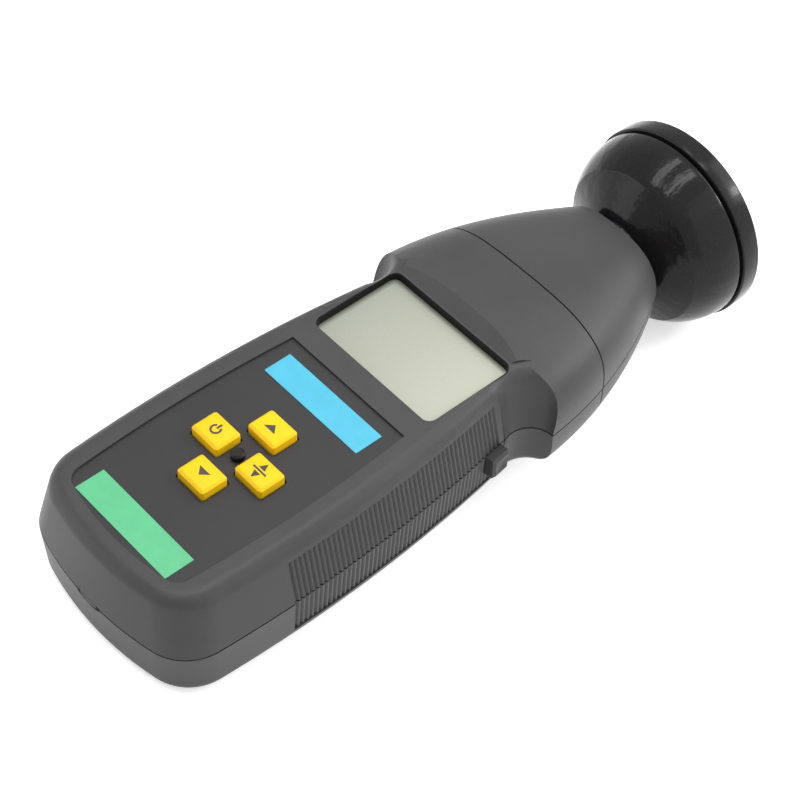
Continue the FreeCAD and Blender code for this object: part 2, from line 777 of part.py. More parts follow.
def build_back_shell():
    """Back shell: ribbed sides, screw bosses, battery bay, door opening and button hole."""
    wall, parting, gap = size("wall"), size("parting_level"), size("fit_gap")
    half_gap = size("seam_gap") / 2
    end = parting - half_gap
    trim = box_between((-60, -60, -60), (60, size("seam_station") - half_gap, end))
    outer = housing_half(0.0, 0.0, size("edge_radius"), -1)
    inner = housing_half(wall, wall, size("edge_radius") - wall, -1)
    skin = ribbed(outer.cut(inner).common(trim).Solids[0], -1)

    roof = size("door_thickness + 2 * cell_radius + 1")
    half_bay = size("door_half_width + 0.4")
    bay = box_between((-half_bay - size("bay_wall"), size("bay_start - bay_wall"), 0),
                      (half_bay + size("bay_wall"), size("bay_end + bay_wall"),
                       roof + size("bay_wall")))
    whole = join(outer, [housing_half(0.0, size("face_level"), size("edge_radius"), 1)])
    bosses = [pillar(size("boss_radius"), size(x), size(y), 0, end) for x, y in SHELL_SCREWS]
    posts = [pillar(size("board_post_radius"), side * size("power_board_half_width - 3"),
                    along, 0, size("power_board_level"))
             for along in (size("power_board_start + 3.5"), size("power_board_end - 3.5"))
             for side in (-1, 1)]
    shell = join(skin, [boss.common(outer) for boss in bosses + posts] + [bay.common(whole)])

    seat, opening = size("door_thickness + 0.1"), size("door_half_width + door_gap")
    start, far = size("bay_start"), size("bay_end")
    cuts = [box_between((-opening, start, -1), (opening, far, seat)),
            box_between((-half_bay, start + size("bay_ledge"), seat), (half_bay, far, roof)),
            box_between((-half_bay, start, wall + 2), (half_bay, far, roof))]
    for side in (-1, 1):
        middle = side * size("hook_station")
        half = size("hook_half_width") + gap
        cuts.append(box_between((middle - half, far - 1, wall + gap),
                                (middle + half, far + size("hook_reach") + 1, wall + 3)))
    for x, y in SHELL_SCREWS:
        cuts.append(pillar(size("screw_head_radius + 0.3"), size(x), size(y), -1,
                           size("head_sink + screw_head")))
        cuts.append(pillar(size("screw_radius + 0.15"), size(x), size(y), 0, parting + 5))
    cuts.append(lip_ring(wall / 2 + 0.1, wall + 0.1, parting - size("lip_depth") - 0.1,
                         parting + 1))
    cuts.append(box_between((-size("tongue_half_width") - half_gap, -60,
                             parting - size("tongue_depth") - half_gap),
                            (size("tongue_half_width") + half_gap, 0, parting + 1)))
    cuts.append(button_block(wall + 8, 10, gap, size("button_low") - gap, parting + 5))
    cuts.append(button_block(wall + 8, -wall, gap + size("button_flange"),
                             size("button_low - button_flange") - gap, parting + 5))
    table = box_between((-60, -200, -40), (60, 200, 0))
    table.Placement = rest.inverse().multiply(table.Placement)
    cuts.append(table)
    keep_shape("back_shell", carve(shell, cuts))


def nose_slice(inset, start, end, way):
    """Straight slice with the nose's section at its far end, cut level with the flat back."""
    face = Part.Face(nose_wire(end, inset, way))
    piece = face.extrude(Vector(0, start - end, 0))
    if way < 0:
        piece = piece.cut(box_between((-60, 0, -60), (60, 300, inset)))
    return piece.Solids[0]


def nose_body(inset, start, end, way):
    """Smooth half of the nose, flat along the back."""
    half = nose_half(inset, start, end, way)
    if way < 0:
        half = half.cut(box_between((-60, 0, -60), (60, 300, inset)))
    return half.Solids[0]


def build_nose_half(name, way):
    """Upper or lower half of the nose, with its spigot and half of the neck's collar."""
    wall, parting, half_gap = size("wall"), size("parting_level"), size("seam_gap") / 2
    start, end = size("seam_station") + half_gap, size("nose_station")
    begin, shelf, extra = start - size("spigot_depth"), start + 1.2, 1.0
    whole = nose_body(0.0, start, end, way)
    shell = whole.cut(nose_body(wall, start - extra, end + extra, way)).Solids[0]
    spigot = nose_slice(wall - 0.5, start, shelf, way)
    spigot = spigot.fuse(nose_slice(wall + 0.2, begin, shelf, way))
    spigot = spigot.cut(nose_slice(wall + 1.6, begin - extra, shelf + extra, way)).Solids[0]
    collar = whole.common(box_between((-60, size("collar_start"), -60),
                                      (60, size("collar_start + collar_thickness"), 99)))
    posts = [pillar(size("boss_radius"), size(x), size(y), 0, 60).common(whole)
             for x, y in NOSE_SCREWS]
    shell = join(shell, [spigot, collar] + posts)

    top = size("head_sink + screw_head + screw_length")
    cuts = [Part.makeCylinder(size("neck_radius + 0.05"), 90,
                              Vector(0, size("neck_start - 4"), parting), Vector(0, 1, 0))]
    for x, y in NOSE_SCREWS:
        cuts.append(pillar(size("screw_head_radius + 0.3"), size(x), size(y), -5,
                           size("head_sink + screw_head")))
        cuts.append(pillar(size("screw_radius + 0.05"), size(x), size(y), 0, top + 0.7))
    low, high = (parting - half_gap, parting) if way < 0 else (parting, parting + half_gap)
    cuts.append(box_between((-60, 0, low), (60, 300, high)))
    keep_shape(name, carve(shell, cuts))


def build_face():
    """Overlay plate, label strips and the centre stud on the face."""
    gap = size("fit_gap") / 3
    plate = Part.Face(plan_wire(size("panel_floor"), size("panel_side_inset") + gap,
                                size("panel_rear_inset") + gap, size("panel_corner") - gap,
                                size("panel_end") - gap))
    plate = plate.extrude(Vector(0, 0, size("plate_thickness")))
    cuts = [key_hole(x, y, size("fit_gap"), 20, 60) for x, y in KEYS.values()]
    cuts.append(pillar(size("stud_pin_radius + 0.05"), 0, size("key_row"), 20, 60))
    keep_shape("face_plate", plate.cut(cuts))

    for name, start, end in (("label_blue", "blue_label_start", "blue_label_end"),
                             ("label_green", "green_label_start", "green_label_end")):
        body = new_body(name)
        pad(body, name + "_pad", rectangle("0 - label_half_width", start,
                                           "label_half_width", end),
            "plate_top", "label_thickness")
        keep(name, body)

    stud = new_body("centre_stud")
    sketch = outline_sketch(stud, "stud_profile", "YZ_Plane", [
        ("key_row", "ceiling_level"),
        ("key_row + stud_pin_radius", "ceiling_level"),
        ("key_row + stud_pin_radius", "plate_top"),
        ("key_row + stud_radius", "plate_top"),
        ("key_row + stud_radius", "face_level + stud_height - 0.5"),
        ("key_row + stud_radius - 0.5", "face_level + stud_height"),
        ("key_row", "face_level + stud_height"),
    ])
    axis = sketch.addGeometry(Part.LineSegment(
        Vector(size("key_row"), 0, 0), Vector(size("key_row"), 5, 0)), True)
    sketch.addConstraint(Sketcher.Constraint("Vertical", axis))
    number = sketch.addConstraint(Sketcher.Constraint("DistanceX", -1, 1, axis, 1,
                                                      size("key_row")))
    sketch.renameConstraint(number, "axis_place")
    sketch.setExpression("Constraints.axis_place", linked("key_row"))
    turn = stud.newObject("PartDesign::Revolution", "stud_turn")
    turn.Profile = sketch
    turn.ReferenceAxis = (sketch, ["Axis0"])
    turn.Angle = 360
    keep("centre_stud", stud)


def build_keys():
    """Four key caps with flanges that hold them under the face, and their switches."""
    switches = []
    flange_top = "(ceiling_level - fit_gap)"
    for name, (across, along) in KEYS.items():
        body = new_body(name)

        def frame(half_x, half_y):
            return rectangle(f"{across} - {half_x}", f"{along} - {half_y}",
                             f"{across} + {half_x}", f"{along} + {half_y}")

        pad(body, name + "_flange", frame("(key_width / 2 + key_flange)",
                                          "(key_length / 2 + key_flange)"),
            f"{flange_top} - key_flange_thickness", "key_flange_thickness")
        pad(body, name + "_cap", frame("key_width / 2", "key_length / 2"),
            f"{flange_top} - key_flange_thickness / 2",
            f"face_level + key_height - {flange_top} + key_flange_thickness / 2")
        chamfer_top(body, name + "_bevel", "key_chamfer")
        keep(name, body)
        switches.append(switch_at(across, along, flange_top))
    keep("key_switches", group("key_switches", switches))


def switch_at(across, along, flange_top):
    """Push switch on the main board, its plunger just under a key's full travel."""
    tip = f"({flange_top} - key_flange_thickness - key_travel - 0.15)"
    base = block("switch_side", "switch_side", f"{tip} - 0.8 - board_top",
                 (f"{across} - switch_side / 2", f"{along} - switch_side / 2", "board_top"))
    plunger = rod("switch_plunger_radius", "1.3", (across, along, f"{tip} - 1.3"))
    return union("switch", [base, plunger])


def build_display():
    """Display glass, the frame that carries it on the board and its connector strips."""
    across = "(window_half_width + display_margin)"
    start, end = "(window_start - display_margin)", "(window_end + display_margin)"
    glass_top = "(ceiling_level - fit_gap / 3)"
    glass = new_body("lcd_glass")
    pad(glass, "glass_pad", rectangle(f"0 - {across}", start, across, end),
        f"{glass_top} - display_thickness", "display_thickness")
    keep("lcd_glass", glass)

    frame = new_body("lcd_frame")
    frame_top = f"({glass_top} - 0.4)"
    pad(frame, "frame_pad", rectangle(f"0 - {across} - frame_rim", f"{start} - frame_rim",
                                      f"{across} + frame_rim", f"{end} + frame_rim"),
        "board_top", f"{frame_top} - board_top")
    pocket(frame, "glass_seat", rectangle(f"0 - {across} - 0.1", f"{start} - 0.1",
                                          f"{across} + 0.1", f"{end} + 0.1"),
           frame_top, f"display_thickness - 0.4")
    pocket(frame, "strip_slot_rear",
           rectangle(f"0 - {across} + 2", f"{start} + 1", f"{across} - 2", f"{start} + 3.2"),
           frame_top, f"{frame_top} - board_top")
    pocket(frame, "strip_slot_front",
           rectangle(f"0 - {across} + 2", f"{end} - 3.2", f"{across} - 2", f"{end} - 1"),
           frame_top, f"{frame_top} - board_top")
    keep("lcd_frame", frame)

    strips = [block(f"2 * {across} - 4.4", "1.8",
                    f"{glass_top} - display_thickness - board_top",
                    (f"2.2 - {across}", place, "board_top"))
              for place in (f"{start} + 1.2", f"{end} - 3")]
    keep("zebra_strips", group("zebra_strips", strips))


def build_main_board():
    """Main board hung from the front shell, its control chip and its screws."""
    board = new_body("main_board")
    pad(board, "board_pad", rectangle("0 - main_board_half_width", "main_board_start",
                                      "main_board_half_width", "main_board_end"),
        "main_board_level", "board_thickness")
    for number, (across, along) in enumerate(BOARD_SCREWS):
        half = "(board_screw_radius + 0.15)"
        pocket(board, f"board_hole_{number}",
               rectangle(f"{across} - {half}", f"{along} - {half}",
                         f"{across} + {half}", f"{along} + {half}"),
               "board_top", "board_thickness")
    keep("main_board", board)
    keep("control_chip", block("chip_side", "chip_side", "chip_height",
                               ("0 - chip_side / 2", "60", "main_board_level - chip_height")))
    screws = []
    for across, along in BOARD_SCREWS:
        head = rod("board_screw_radius * 1.9", "1.2", (across, along, "main_board_level - 1.2"))
        shank = rod("board_screw_radius", "board_thickness + 4.5",
                    (across, along, "main_board_level - 0.1"))
        screws.append(union("board_screw", [head, shank]))
    keep("board_screws", group("board_screws", screws))


def build_side_button():
    """Dished side button with its flange, and the switch behind it."""
    low = size("button_low")
    high = size("parting_level") - size("fit_gap")
    wall, gap = size("wall"), size("fit_gap")
    cap = button_block(wall + gap, size("button_proud"), 0.0, low, high)
    face = size("half_width") + size("button_proud")
    outer_edges = [edge for edge in cap.Edges
                   if all(abs((point.Point - SIDE_CENTRE).dot(
                       Rotation(Vector(0, 0, 1), BUTTON_ANGLE).multVec(Vector(1, 0, 0)))
                       - (face - SIDE_CENTRE.x)) < 1e-3 for point in edge.Vertexes)]
    cap = cap.makeChamfer(0.8, outer_edges)
    flange = button_block(wall + gap + 1.2, -wall - gap, size("button_flange"),
                          low - size("button_flange"), high)
    dimple = Part.makeSphere(size("dimple_radius"), Vector(
        face + size("dimple_radius - dimple_depth"), size("widest_station"), (low + high) / 2))
    keep_shape("side_button", cap.fuse(flange).cut(on_button(dimple)).removeSplitter())
    inner = wall + gap + 1.2 + size("button_travel") + 0.15
    body = button_block(inner + 5.5, -inner - 1.0, 0.0, low - 0.5, high - 0.5)
    plunger = button_block(inner + 1.5, -inner, -1.8, low + 2.4, high - 2.4)
    keep_shape("side_switch", body.fuse(plunger).removeSplitter())


def build_battery():
    """Battery door with its hooks, four cells, their springs and contact plates."""
    thick = "door_thickness"
    door = new_body("door_panel")
    pad(door, "door_pad", rectangle("0 - door_half_width", "bay_start + door_gap",
                                    "door_half_width", "hinge_station"), "0", thick)
    round_edge = rod("door_thickness / 2", "2 * door_half_width",
                     ("0 - door_half_width", "hinge_station", "door_thickness / 2"),
                     Vector(1, 0, 0))
    for side in ("0 - ", ""):
        low, high = ("hook_station - hook_half_width", "hook_station + hook_half_width")
        if side:
            low, high = f"0 - ({high})", f"0 - ({low})"
        place = "left" if side else "right"
        pad(door, f"hook_post_{place}", rectangle(low, "hinge_station - hook_thickness",
                                                  high, "hinge_station"),
            f"{thick} - 0.2", "hook_level + hook_thickness - door_thickness + 0.2")
        pad(door, f"hook_{place}", rectangle(low, "hinge_station - hook_thickness", high,
                                             "bay_end + hook_reach"),
            "hook_level", "hook_thickness")
    pocket(door, "finger_groove", rectangle("0 - 8", "bay_start + door_gap + 4", "8",
                                            "bay_start + door_gap + 5.4"), "0.6", "0.6")
    keep("battery_door", union("battery_door", [door, round_edge]))

    level = "(door_thickness + 0.5 + cell_radius)"
    cells, springs, plates = [], [], []
    for index in range(4):
        across = f"cell_pitch * {index - 1.5}"
        spring = doc.addObject("Part::Cone", "spring")
        bind(spring, Radius1="4.5", Radius2="2.6", Height="spring_length")
        if index % 2 == 0:
            start, nub = "cell_room_start + spring_length", "cell_room_end - cell_nub"
            spring.Placement.Rotation = Rotation(Vector(0, 0, 1), Vector(0, 1, 0))
            at(spring, across, "cell_room_start", level)
        else:
            start, nub = "cell_room_start + cell_nub", "cell_room_start"
            spring.Placement.Rotation = Rotation(Vector(0, 0, 1), Vector(0, -1, 0))
            at(spring, across, "cell_room_end", level)
        can = rod("cell_radius", "cell_length", (across, start, level), Vector(0, 1, 0))
        tip = rod("2.7", "cell_nub", (across, nub, level), Vector(0, 1, 0))
        cells.append(union("cell", [can, tip]))
        springs.append(spring)
        for side in ("bay_start + plate_gap", "cell_room_end"):
            plates.append(block("cell_pitch - 2", "contact_thickness", "9",
                                (f"{across} - cell_pitch / 2 + 1", side, f"{level} - 4")))
    keep("battery_cells", group("battery_cells", cells))
    keep("battery_springs", group("battery_springs", springs))
    keep("contact_plates", group("contact_plates", plates))


def build_screws():
    """Long screws that close the housing and the nose."""
    for name, places in (("shell_screws", SHELL_SCREWS), ("nose_screws", NOSE_SCREWS)):
        screws = []
        for across, along in places:
            head = rod("screw_head_radius", "screw_head", (across, along, "head_sink"))
            shank = rod("screw_radius", "screw_length + 0.5",
                        (across, along, "head_sink + screw_head - 0.5"))
            socket = rod("1.2", "1.4", (across, along, "head_sink - 0.2"))
            screws.append(minus("screw", union("screw_blank", [head, shank]), socket))
        keep(name, group(name, screws))


def build_lamp():
    """Lamp head: bell with its neck, rim ring, glass, gasket, reflector, tube and socket."""
    inner_back = "(bowl_back_radius - bowl_wall)"
    keep("lamp_bowl", turned("lamp_bowl", [
        ("neck_bore", "neck_start"),
        ("neck_radius", "neck_start"),
        ("neck_radius", "collar_start - neck_flange_thickness - 0.1"),
        ("neck_radius + neck_flange", "collar_start - neck_flange_thickness - 0.1"),
        ("neck_radius + neck_flange", "collar_start - 0.1"),
        ("neck_radius", "collar_start - 0.1"),
        ("neck_radius", "neck_end"),
        ("bowl_back_radius", "bowl_back_station", "bowl_bulge_radius", 1),
        ("bowl_radius", "bowl_end"),
        ("spigot_radius - 1.2", "bowl_end"),
        ("spigot_radius - 1.2", "gasket_start"),
        ("spigot_radius - 1.2 - bowl_wall", "gasket_start"),
        ("spigot_radius - 1.2 - bowl_wall", "bowl_end - 1"),
        (inner_back, "bowl_back_station + bowl_wall"),
        ("neck_bore", "neck_end + bowl_wall"),
    ]))
    keep("lamp_ring", turned("lamp_ring", [
        ("spigot_radius - 1.1", "ring_start"),
        ("ring_radius - ring_chamfer", "ring_start"),
        ("ring_radius", "ring_start + ring_chamfer"),
        ("ring_radius", "ring_end - ring_chamfer"),
        ("ring_radius - ring_chamfer", "ring_end"),
        ("ring_lip_radius", "ring_end"),
        ("ring_lip_radius", "glass_end"),
        ("spigot_radius - 1.1", "glass_end"),
    ]))
    keep("lamp_glass", turned("lamp_glass", [
        ("0", "glass_start"),
        ("spigot_radius - 1.3", "glass_start"),
        ("spigot_radius - 1.3", "glass_end"),
        ("0", "glass_end"),
    ]))
    keep("lens_gasket", turned("lens_gasket", [
        ("spigot_radius - bowl_wall - 1", "gasket_start"),
        ("spigot_radius - 1.3", "gasket_start"),
        ("spigot_radius - 1.3", "glass_start"),
        ("spigot_radius - bowl_wall - 1", "glass_start"),
    ]))
    build_reflector()
    keep("tube_socket", turned("tube_socket", [
        ("0", "socket_start"),
        ("socket_radius", "socket_start"),
        ("socket_radius", "socket_start + 1.5"),
        ("reflector_bore - 0.3", "socket_start + 1.5"),
        ("reflector_bore - 0.3", "socket_start + socket_thickness + 2.6"),
        ("0", "socket_start + socket_thickness + 2.6"),
    ]))
    keep("lamp_board", turned("lamp_board", [
        ("0", "lamp_board_station"),
        ("lamp_board_radius", "lamp_board_station"),
        ("lamp_board_radius", "lamp_board_station + board_thickness"),
        ("0", "lamp_board_station + board_thickness"),
    ]))
    build_tube()


def build_reflector():
    """Parabolic reflector: station rises as the radius squared over four focal lengths.

    Each side of its wall is the arc through three points of the parabola.
    """
    focus, back, wall = size("reflector_focus"), size("reflector_back"), size("reflector_wall")
    bore, rim = size("reflector_bore"), size("spigot_radius - bowl_wall - 1.4")
    sides = []
    for shift in (0.0, -wall):
        points = [Vector(radius, back + shift + radius ** 2 / (4 * focus), size("parting_level"))
                  for radius in (bore, (bore + rim) / 2, rim)]
        sides.append(Part.Arc(*points).toShape())
    first, second = sides
    ends = [Part.LineSegment(first.Vertexes[end].Point, second.Vertexes[end].Point).toShape()
            for end in (0, 1)]
    face = Part.Face(Part.Wire(Part.__sortEdges__([first, ends[1], second, ends[0]])))
    keep_shape("reflector", face.revolve(Vector(0, 0, size("parting_level")),
                                         Vector(0, 1, 0), 360))


def build_tube():
    """Flash tube bent into a narrow arch, standing in its socket."""
    spread, axis, radius = size("tube_spread"), size("parting_level"), size("tube_radius")
    foot = size("socket_start + socket_thickness + 2.6")
    shoulder = size("tube_tip") - spread - radius
    left, right = Vector(-spread, foot, axis), Vector(spread, foot, axis)
    left_top, right_top = Vector(-spread, shoulder, axis), Vector(spread, shoulder, axis)
    path = Part.Wire([Part.LineSegment(left, left_top).toShape(),
                      Part.Arc(left_top, Vector(0, shoulder + spread, axis), right_top).toShape(),
                      Part.LineSegment(right_top, right).toShape()])
    section = Part.Wire([Part.Circle(left, Vector(0, 1, 0), radius).toShape()])
    keep_shape("xenon_tube", path.makePipeShell([section], True, False))


def build_power_board():
    """Flash supply: board, capacitor, transformer, trigger coil and the leads to the lamp."""
    board = new_body("power_board")
    pad(board, "power_pad", rectangle("0 - power_board_half_width", "power_board_start",
                                      "power_board_half_width", "power_board_end"),
        "power_board_level", "board_thickness")
    keep("power_board", board)
    keep("flash_capacitor", rod("capacitor_radius", "capacitor_length",
                                ("0 - 11", "power_board_start + 4",
                                 "power_board_top + capacitor_radius"), Vector(0, 1, 0)))
    core = block("16", "14", "4", ("4", "power_board_start + 6", "power_board_top + 4"))
    coil = block("11", "17", "12", ("6.5", "power_board_start + 4.5", "power_board_top"))
    keep("inverter_transformer", union("inverter_transformer", [core, coil]))
    keep("trigger_coil", rod("4.5", "11", ("11", "power_board_start + 36", "power_board_top")))
    build_leads()


def build_leads():
    """Three leads from the flash supply forward through the neck to the lamp board."""
    start = size("power_board_end") - 6
    low, high = size("power_board_top") + 1.2, size("parting_level")
    end = size("lamp_board_station")
    radius = size("lead_radius")
    leads = []
    for index in (-1, 0, 1):
        across = index * 5.0
        points = [Vector(across, start, low), Vector(across, start + 22, low),
                  Vector(across, end - 24, high), Vector(across, end, high)]
        leads.append(round_path_tube(points, radius, 14.0))
    keep_shape("lamp_leads", Part.makeCompound(leads))


def round_path_tube(points, radius, bend):
    """Tube along straight runs joined by tangent arcs."""
    edges = []
    place = points[0]
    for before, corner, after in zip(points, points[1:], points[2:]):
        coming = (corner - before).normalize()
        going = (after - corner).normalize()
        turn = coming.getAngle(going)
        cut_back = bend * math.tan(turn / 2)
        start, end = corner - coming * cut_back, corner + going * cut_back
        inward = (going - coming).normalize()
        middle = corner + inward * (bend / math.cos(turn / 2) - bend)
        edges.append(Part.LineSegment(place, start).toShape())
        edges.append(Part.Arc(start, middle, end).toShape())
        place = end
    edges.append(Part.LineSegment(place, points[-1]).toShape())
    path = Part.Wire(edges)
    section = Part.Wire([Part.Circle(points[0], (points[1] - points[0]), radius).toShape()])
    return path.makePipeShell([section], True, False)


def rest_placement():
    """Lay the object down on the flat land of its rear edge and the back of the ring's rim."""
    edge, draft = size("edge_radius"), math.radians(size("lower_draft"))
    narrowing = size("parting_level") * math.tan(draft)
    heel = Vector(0, narrowing - size("rear_crown") + edge * math.tan((math.pi / 2 - draft) / 2),
                  edge)
    rim = Vector(0, size("ring_start + ring_chamfer"), size("parting_level - ring_radius"))
    across, up = heel.y - rim.y, heel.z - rim.z
    stand = edge - size("heel_land")
    tilt = math.atan2(across, up) + math.acos(stand / math.hypot(across, up))
    turn = Rotation(Vector(1, 0, 0), math.degrees(tilt))
    front = turn.multVec(Vector(0, size("ring_end - ring_chamfer"),
                                size("parting_level - ring_radius")))
    rear = turn.multVec(Vector(0, -size("rear_crown"), size("parting_level")))
    base = Vector(0, -(front.y + rear.y) / 2, -turn.multVec(rim).z)
    print(f"rest tilt {math.degrees(tilt):.5f} degrees, base {base.y:.5f} {base.z:.5f}")
    return Placement(base, turn)


rest = rest_placement()

build_front_shell()
build_back_shell()
build_nose_half("nose_upper", 1)
build_nose_half("nose_lower", -1)
build_face()
build_keys()
build_display()
build_main_board()
build_side_button()
build_battery()
build_screws()
build_lamp()
build_power_board()
doc.recompute()

for node in nodes.values():
    node.Placement = rest.multiply(node.Placement)
doc.recompute()

for item in doc.Objects:
    if {"Invalid", "Error"} & set(item.State):
        raise RuntimeError(f"{item.Name} failed: {item.State}")
for name, node in nodes.items():
    if node.Shape.isNull() or not node.Shape.isValid():
        raise RuntimeError(f"{name} has no valid shape")
os.makedirs("parts", exist_ok=True)
for name, node in nodes.items():
    node.Shape.exportStep(f"parts/{name}.step")
    print(f"{name}: {len(node.Shape.Solids)} solid(s), {node.Shape.Volume:.1f} mm3")
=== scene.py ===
"""Looks of a hand-held xenon stroboscope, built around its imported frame.

The object's own frame has x across the housing, y from the rear end towards the lamp and
z up from the flat back. On the table it leans a little, because it rests on its rear edge
and on the rim of the lamp head.
"""

import json
import logging
import math
from collections.abc import Mapping, Sequence
from dataclasses import dataclass, field
from enum import Enum

import bmesh
import bpy
import numpy as np
from mathutils import Matrix, Vector


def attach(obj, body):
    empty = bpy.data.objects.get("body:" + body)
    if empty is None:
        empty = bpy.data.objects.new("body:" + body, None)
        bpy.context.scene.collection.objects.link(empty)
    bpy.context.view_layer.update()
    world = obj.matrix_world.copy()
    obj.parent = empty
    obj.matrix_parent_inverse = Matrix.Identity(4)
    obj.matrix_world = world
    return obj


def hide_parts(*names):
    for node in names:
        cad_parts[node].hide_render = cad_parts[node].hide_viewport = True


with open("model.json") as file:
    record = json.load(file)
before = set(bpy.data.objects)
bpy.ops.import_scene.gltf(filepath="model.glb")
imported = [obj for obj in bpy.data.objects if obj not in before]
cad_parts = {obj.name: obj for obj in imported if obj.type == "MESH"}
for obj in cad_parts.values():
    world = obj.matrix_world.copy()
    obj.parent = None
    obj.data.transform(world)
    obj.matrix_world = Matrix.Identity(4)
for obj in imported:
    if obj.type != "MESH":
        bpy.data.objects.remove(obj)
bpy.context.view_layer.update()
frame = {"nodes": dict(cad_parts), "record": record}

log = logging.getLogger("stroboscope")

Pair = tuple[float, float]
Triple = tuple[float, float, float]
Colour = Triple
TURN = 2.0 * math.pi
MM = 0.001

# Stations of the back's mount and of the joint of grip and nose, and the level of the parting
# line, which is the lamp's axis too
BACK_FACE, NOSE_JOINT, PARTING = 90.0 * MM, 144.5 * MM, 17.5 * MM
# Points nearer to each other than this are welded
WELD = 0.001 * MM
# Points in each rounding of a profile and in each corner of a loop
ROUNDING_POINTS, CORNER_POINTS = 5, 8
# Turned and carried forms keep edges sharper than the first of these, in degrees, and the
# CAD's rounded faces have facets that meet at less than the second
CREASE, FACET_ANGLE = 35.0, 11.0
# A noise keeps mostly between these values
NOISE_RANGE = (0.3, 0.7)


# The object's own frame and its meshes


@dataclass(frozen=True)
class Lie:
    """How the object lies on the table: a lean about x and a shift."""

    lean: float
    shift: np.ndarray

    @classmethod
    def from_record(cls, record: Mapping, mount: str, station: float) -> "Lie":
        """Read the lie from a mount on the flat back.

        Args:
            record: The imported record.
            mount: Name of the mount, which lies on the plane z = 0 with x = 0.
            station: How far along the object that mount lies, in metres.

        Returns:
            The lie whose lean turns the back's normal onto the mount's axis.
        """
        found = next(item for item in record["mounts"] if item["name"] == mount)
        lean = math.atan2(found["axis"][1], -found["axis"][2])
        place = np.array([0.0, station * math.cos(lean), station * math.sin(lean)])
        return cls(lean, np.array(found["pos_m"]) - place)

    @property
    def turn(self) -> np.ndarray:
        """Rotation matrix of the lean."""
        c, s = math.cos(self.lean), math.sin(self.lean)
        return np.array([[1.0, 0.0, 0.0], [0.0, c, -s], [0.0, s, c]])

    def to_table(self, points: np.ndarray) -> np.ndarray:
        """Carry points from the object's own frame to the table's."""
        return points @ self.turn.T + self.shift

    def to_own(self, points: np.ndarray) -> np.ndarray:
        """Carry points from the table's frame to the object's own."""
        return (points - self.shift) @ self.turn


LIE = Lie.from_record(frame["record"], "back_face", BACK_FACE)


def node_reach(node: str) -> tuple[np.ndarray, np.ndarray]:
    """Find a node's lowest and highest corner in the object's own frame.

    Args:
        node: Name of the CAD node.

    Returns:
        Its lowest and its highest corner, in metres.
    """
    mesh = frame["nodes"][node].data
    points = np.empty(3 * len(mesh.vertices))
    mesh.vertices.foreach_get("co", points)
    own = LIE.to_own(points.reshape(-1, 3))
    return own.min(axis=0), own.max(axis=0)


class Edge(Enum):
    """What a grid's first and last row do."""

    OPEN = "open"
    CLOSED = "closed"


class Axis(Enum):
    """An axis of the object's own frame, by the number of its coordinate."""

    ALONG = 1
    UP = 2


class Side(Enum):
    """The side of its run to which an arc bulges."""

    LEFT = 1.0
    RIGHT = -1.0


@dataclass
class Patch:
    """A grid of points in the object's own frame, (rows, columns, 3), in metres.

    Its last column joins its first.
    """

    points: np.ndarray
    rows: Edge = Edge.OPEN

    def faces(self, first: int) -> np.ndarray:
        """Number the grid's quads.

        Args:
            first: Number of the grid's first vertex in the whole mesh.

        Returns:
            An array of four vertex numbers for each quad.
        """
        high, wide = self.points.shape[:2]
        rows = np.arange(high if self.rows is Edge.CLOSED else high - 1)
        row, col = (grid.ravel() for grid in np.meshgrid(rows, np.arange(wide), indexing="ij"))
        down, right = (row + 1) % high, (col + 1) % wide
        quads = np.stack([row * wide + col, row * wide + right,
                          down * wide + right, down * wide + col], axis=1)
        return quads + first


def weld(mesh: bpy.types.Mesh, gap: float, turn_out: bool) -> None:
    """Weld the points of a mesh that lie close together.

    Args:
        mesh: The mesh.
        gap: How near the points are, in metres.
        turn_out: Whether the faces are then turned outward. A CAD node's already are.
    """
    work = bmesh.new()
    work.from_mesh(mesh)
    bmesh.ops.remove_doubles(work, verts=work.verts, dist=gap)
    if turn_out:
        bmesh.ops.recalc_face_normals(work, faces=work.faces)
    work.to_mesh(mesh)
    work.free()


def mesh_from(name: str, patches: Sequence[Patch]) -> bpy.types.Mesh:
    """Put grids into one closed mesh in the table's frame.

    Args:
        name: Name of the mesh.
        patches: The grids. Rows that shrink to a point and edges that meet are welded.

    Returns:
        The mesh, with its faces turned outward.
    """
    counts = np.cumsum([0] + [patch.points.size // 3 for patch in patches])
    points = np.concatenate([patch.points.reshape(-1, 3) for patch in patches])
    faces = np.concatenate([patch.faces(int(first)) for patch, first in zip(patches, counts)])
    mesh = bpy.data.meshes.new(name)
    mesh.from_pydata(LIE.to_table(points), [], faces)
    weld(mesh, WELD, turn_out=True)
    return mesh


def smooth(mesh: bpy.types.Mesh, crease: float) -> None:
    """Shade a mesh smooth, but keep edges sharper than crease degrees."""
    mesh.polygons.foreach_set("use_smooth", np.ones(len(mesh.polygons), dtype=bool))
    mesh.set_sharp_from_angle(angle=math.radians(crease))


def unit(vectors: np.ndarray) -> np.ndarray:
    """Vectors divided by their own lengths."""
    return vectors / np.linalg.norm(vectors, axis=-1, keepdims=True)


def turned(profile: np.ndarray, centre: Sequence[float], axis: Axis, segments: int) -> Patch:
    """Turn a profile about an axis of the object's own frame.

    A point at (radius r, station s) and angle a goes to the axis at s plus r times
    (cos a, sin a) in the plane square to the axis.

    Args:
        profile: Array of (radius, station) rows, in metres.
        centre: Where the axis passes, in metres.
        axis: Which way the axis runs.
        segments: Number of steps round the axis.

    Returns:
        The grid, closed round the axis.
    """
    angle = np.linspace(0.0, TURN, segments, endpoint=False)
    radius, station = profile[:, 0, None], profile[:, 1, None]
    parts = [radius * np.cos(angle), radius * np.sin(angle)]
    parts.insert(axis.value, np.broadcast_to(station, parts[0].shape))
    return Patch(np.stack(parts, axis=-1) + np.array(centre))


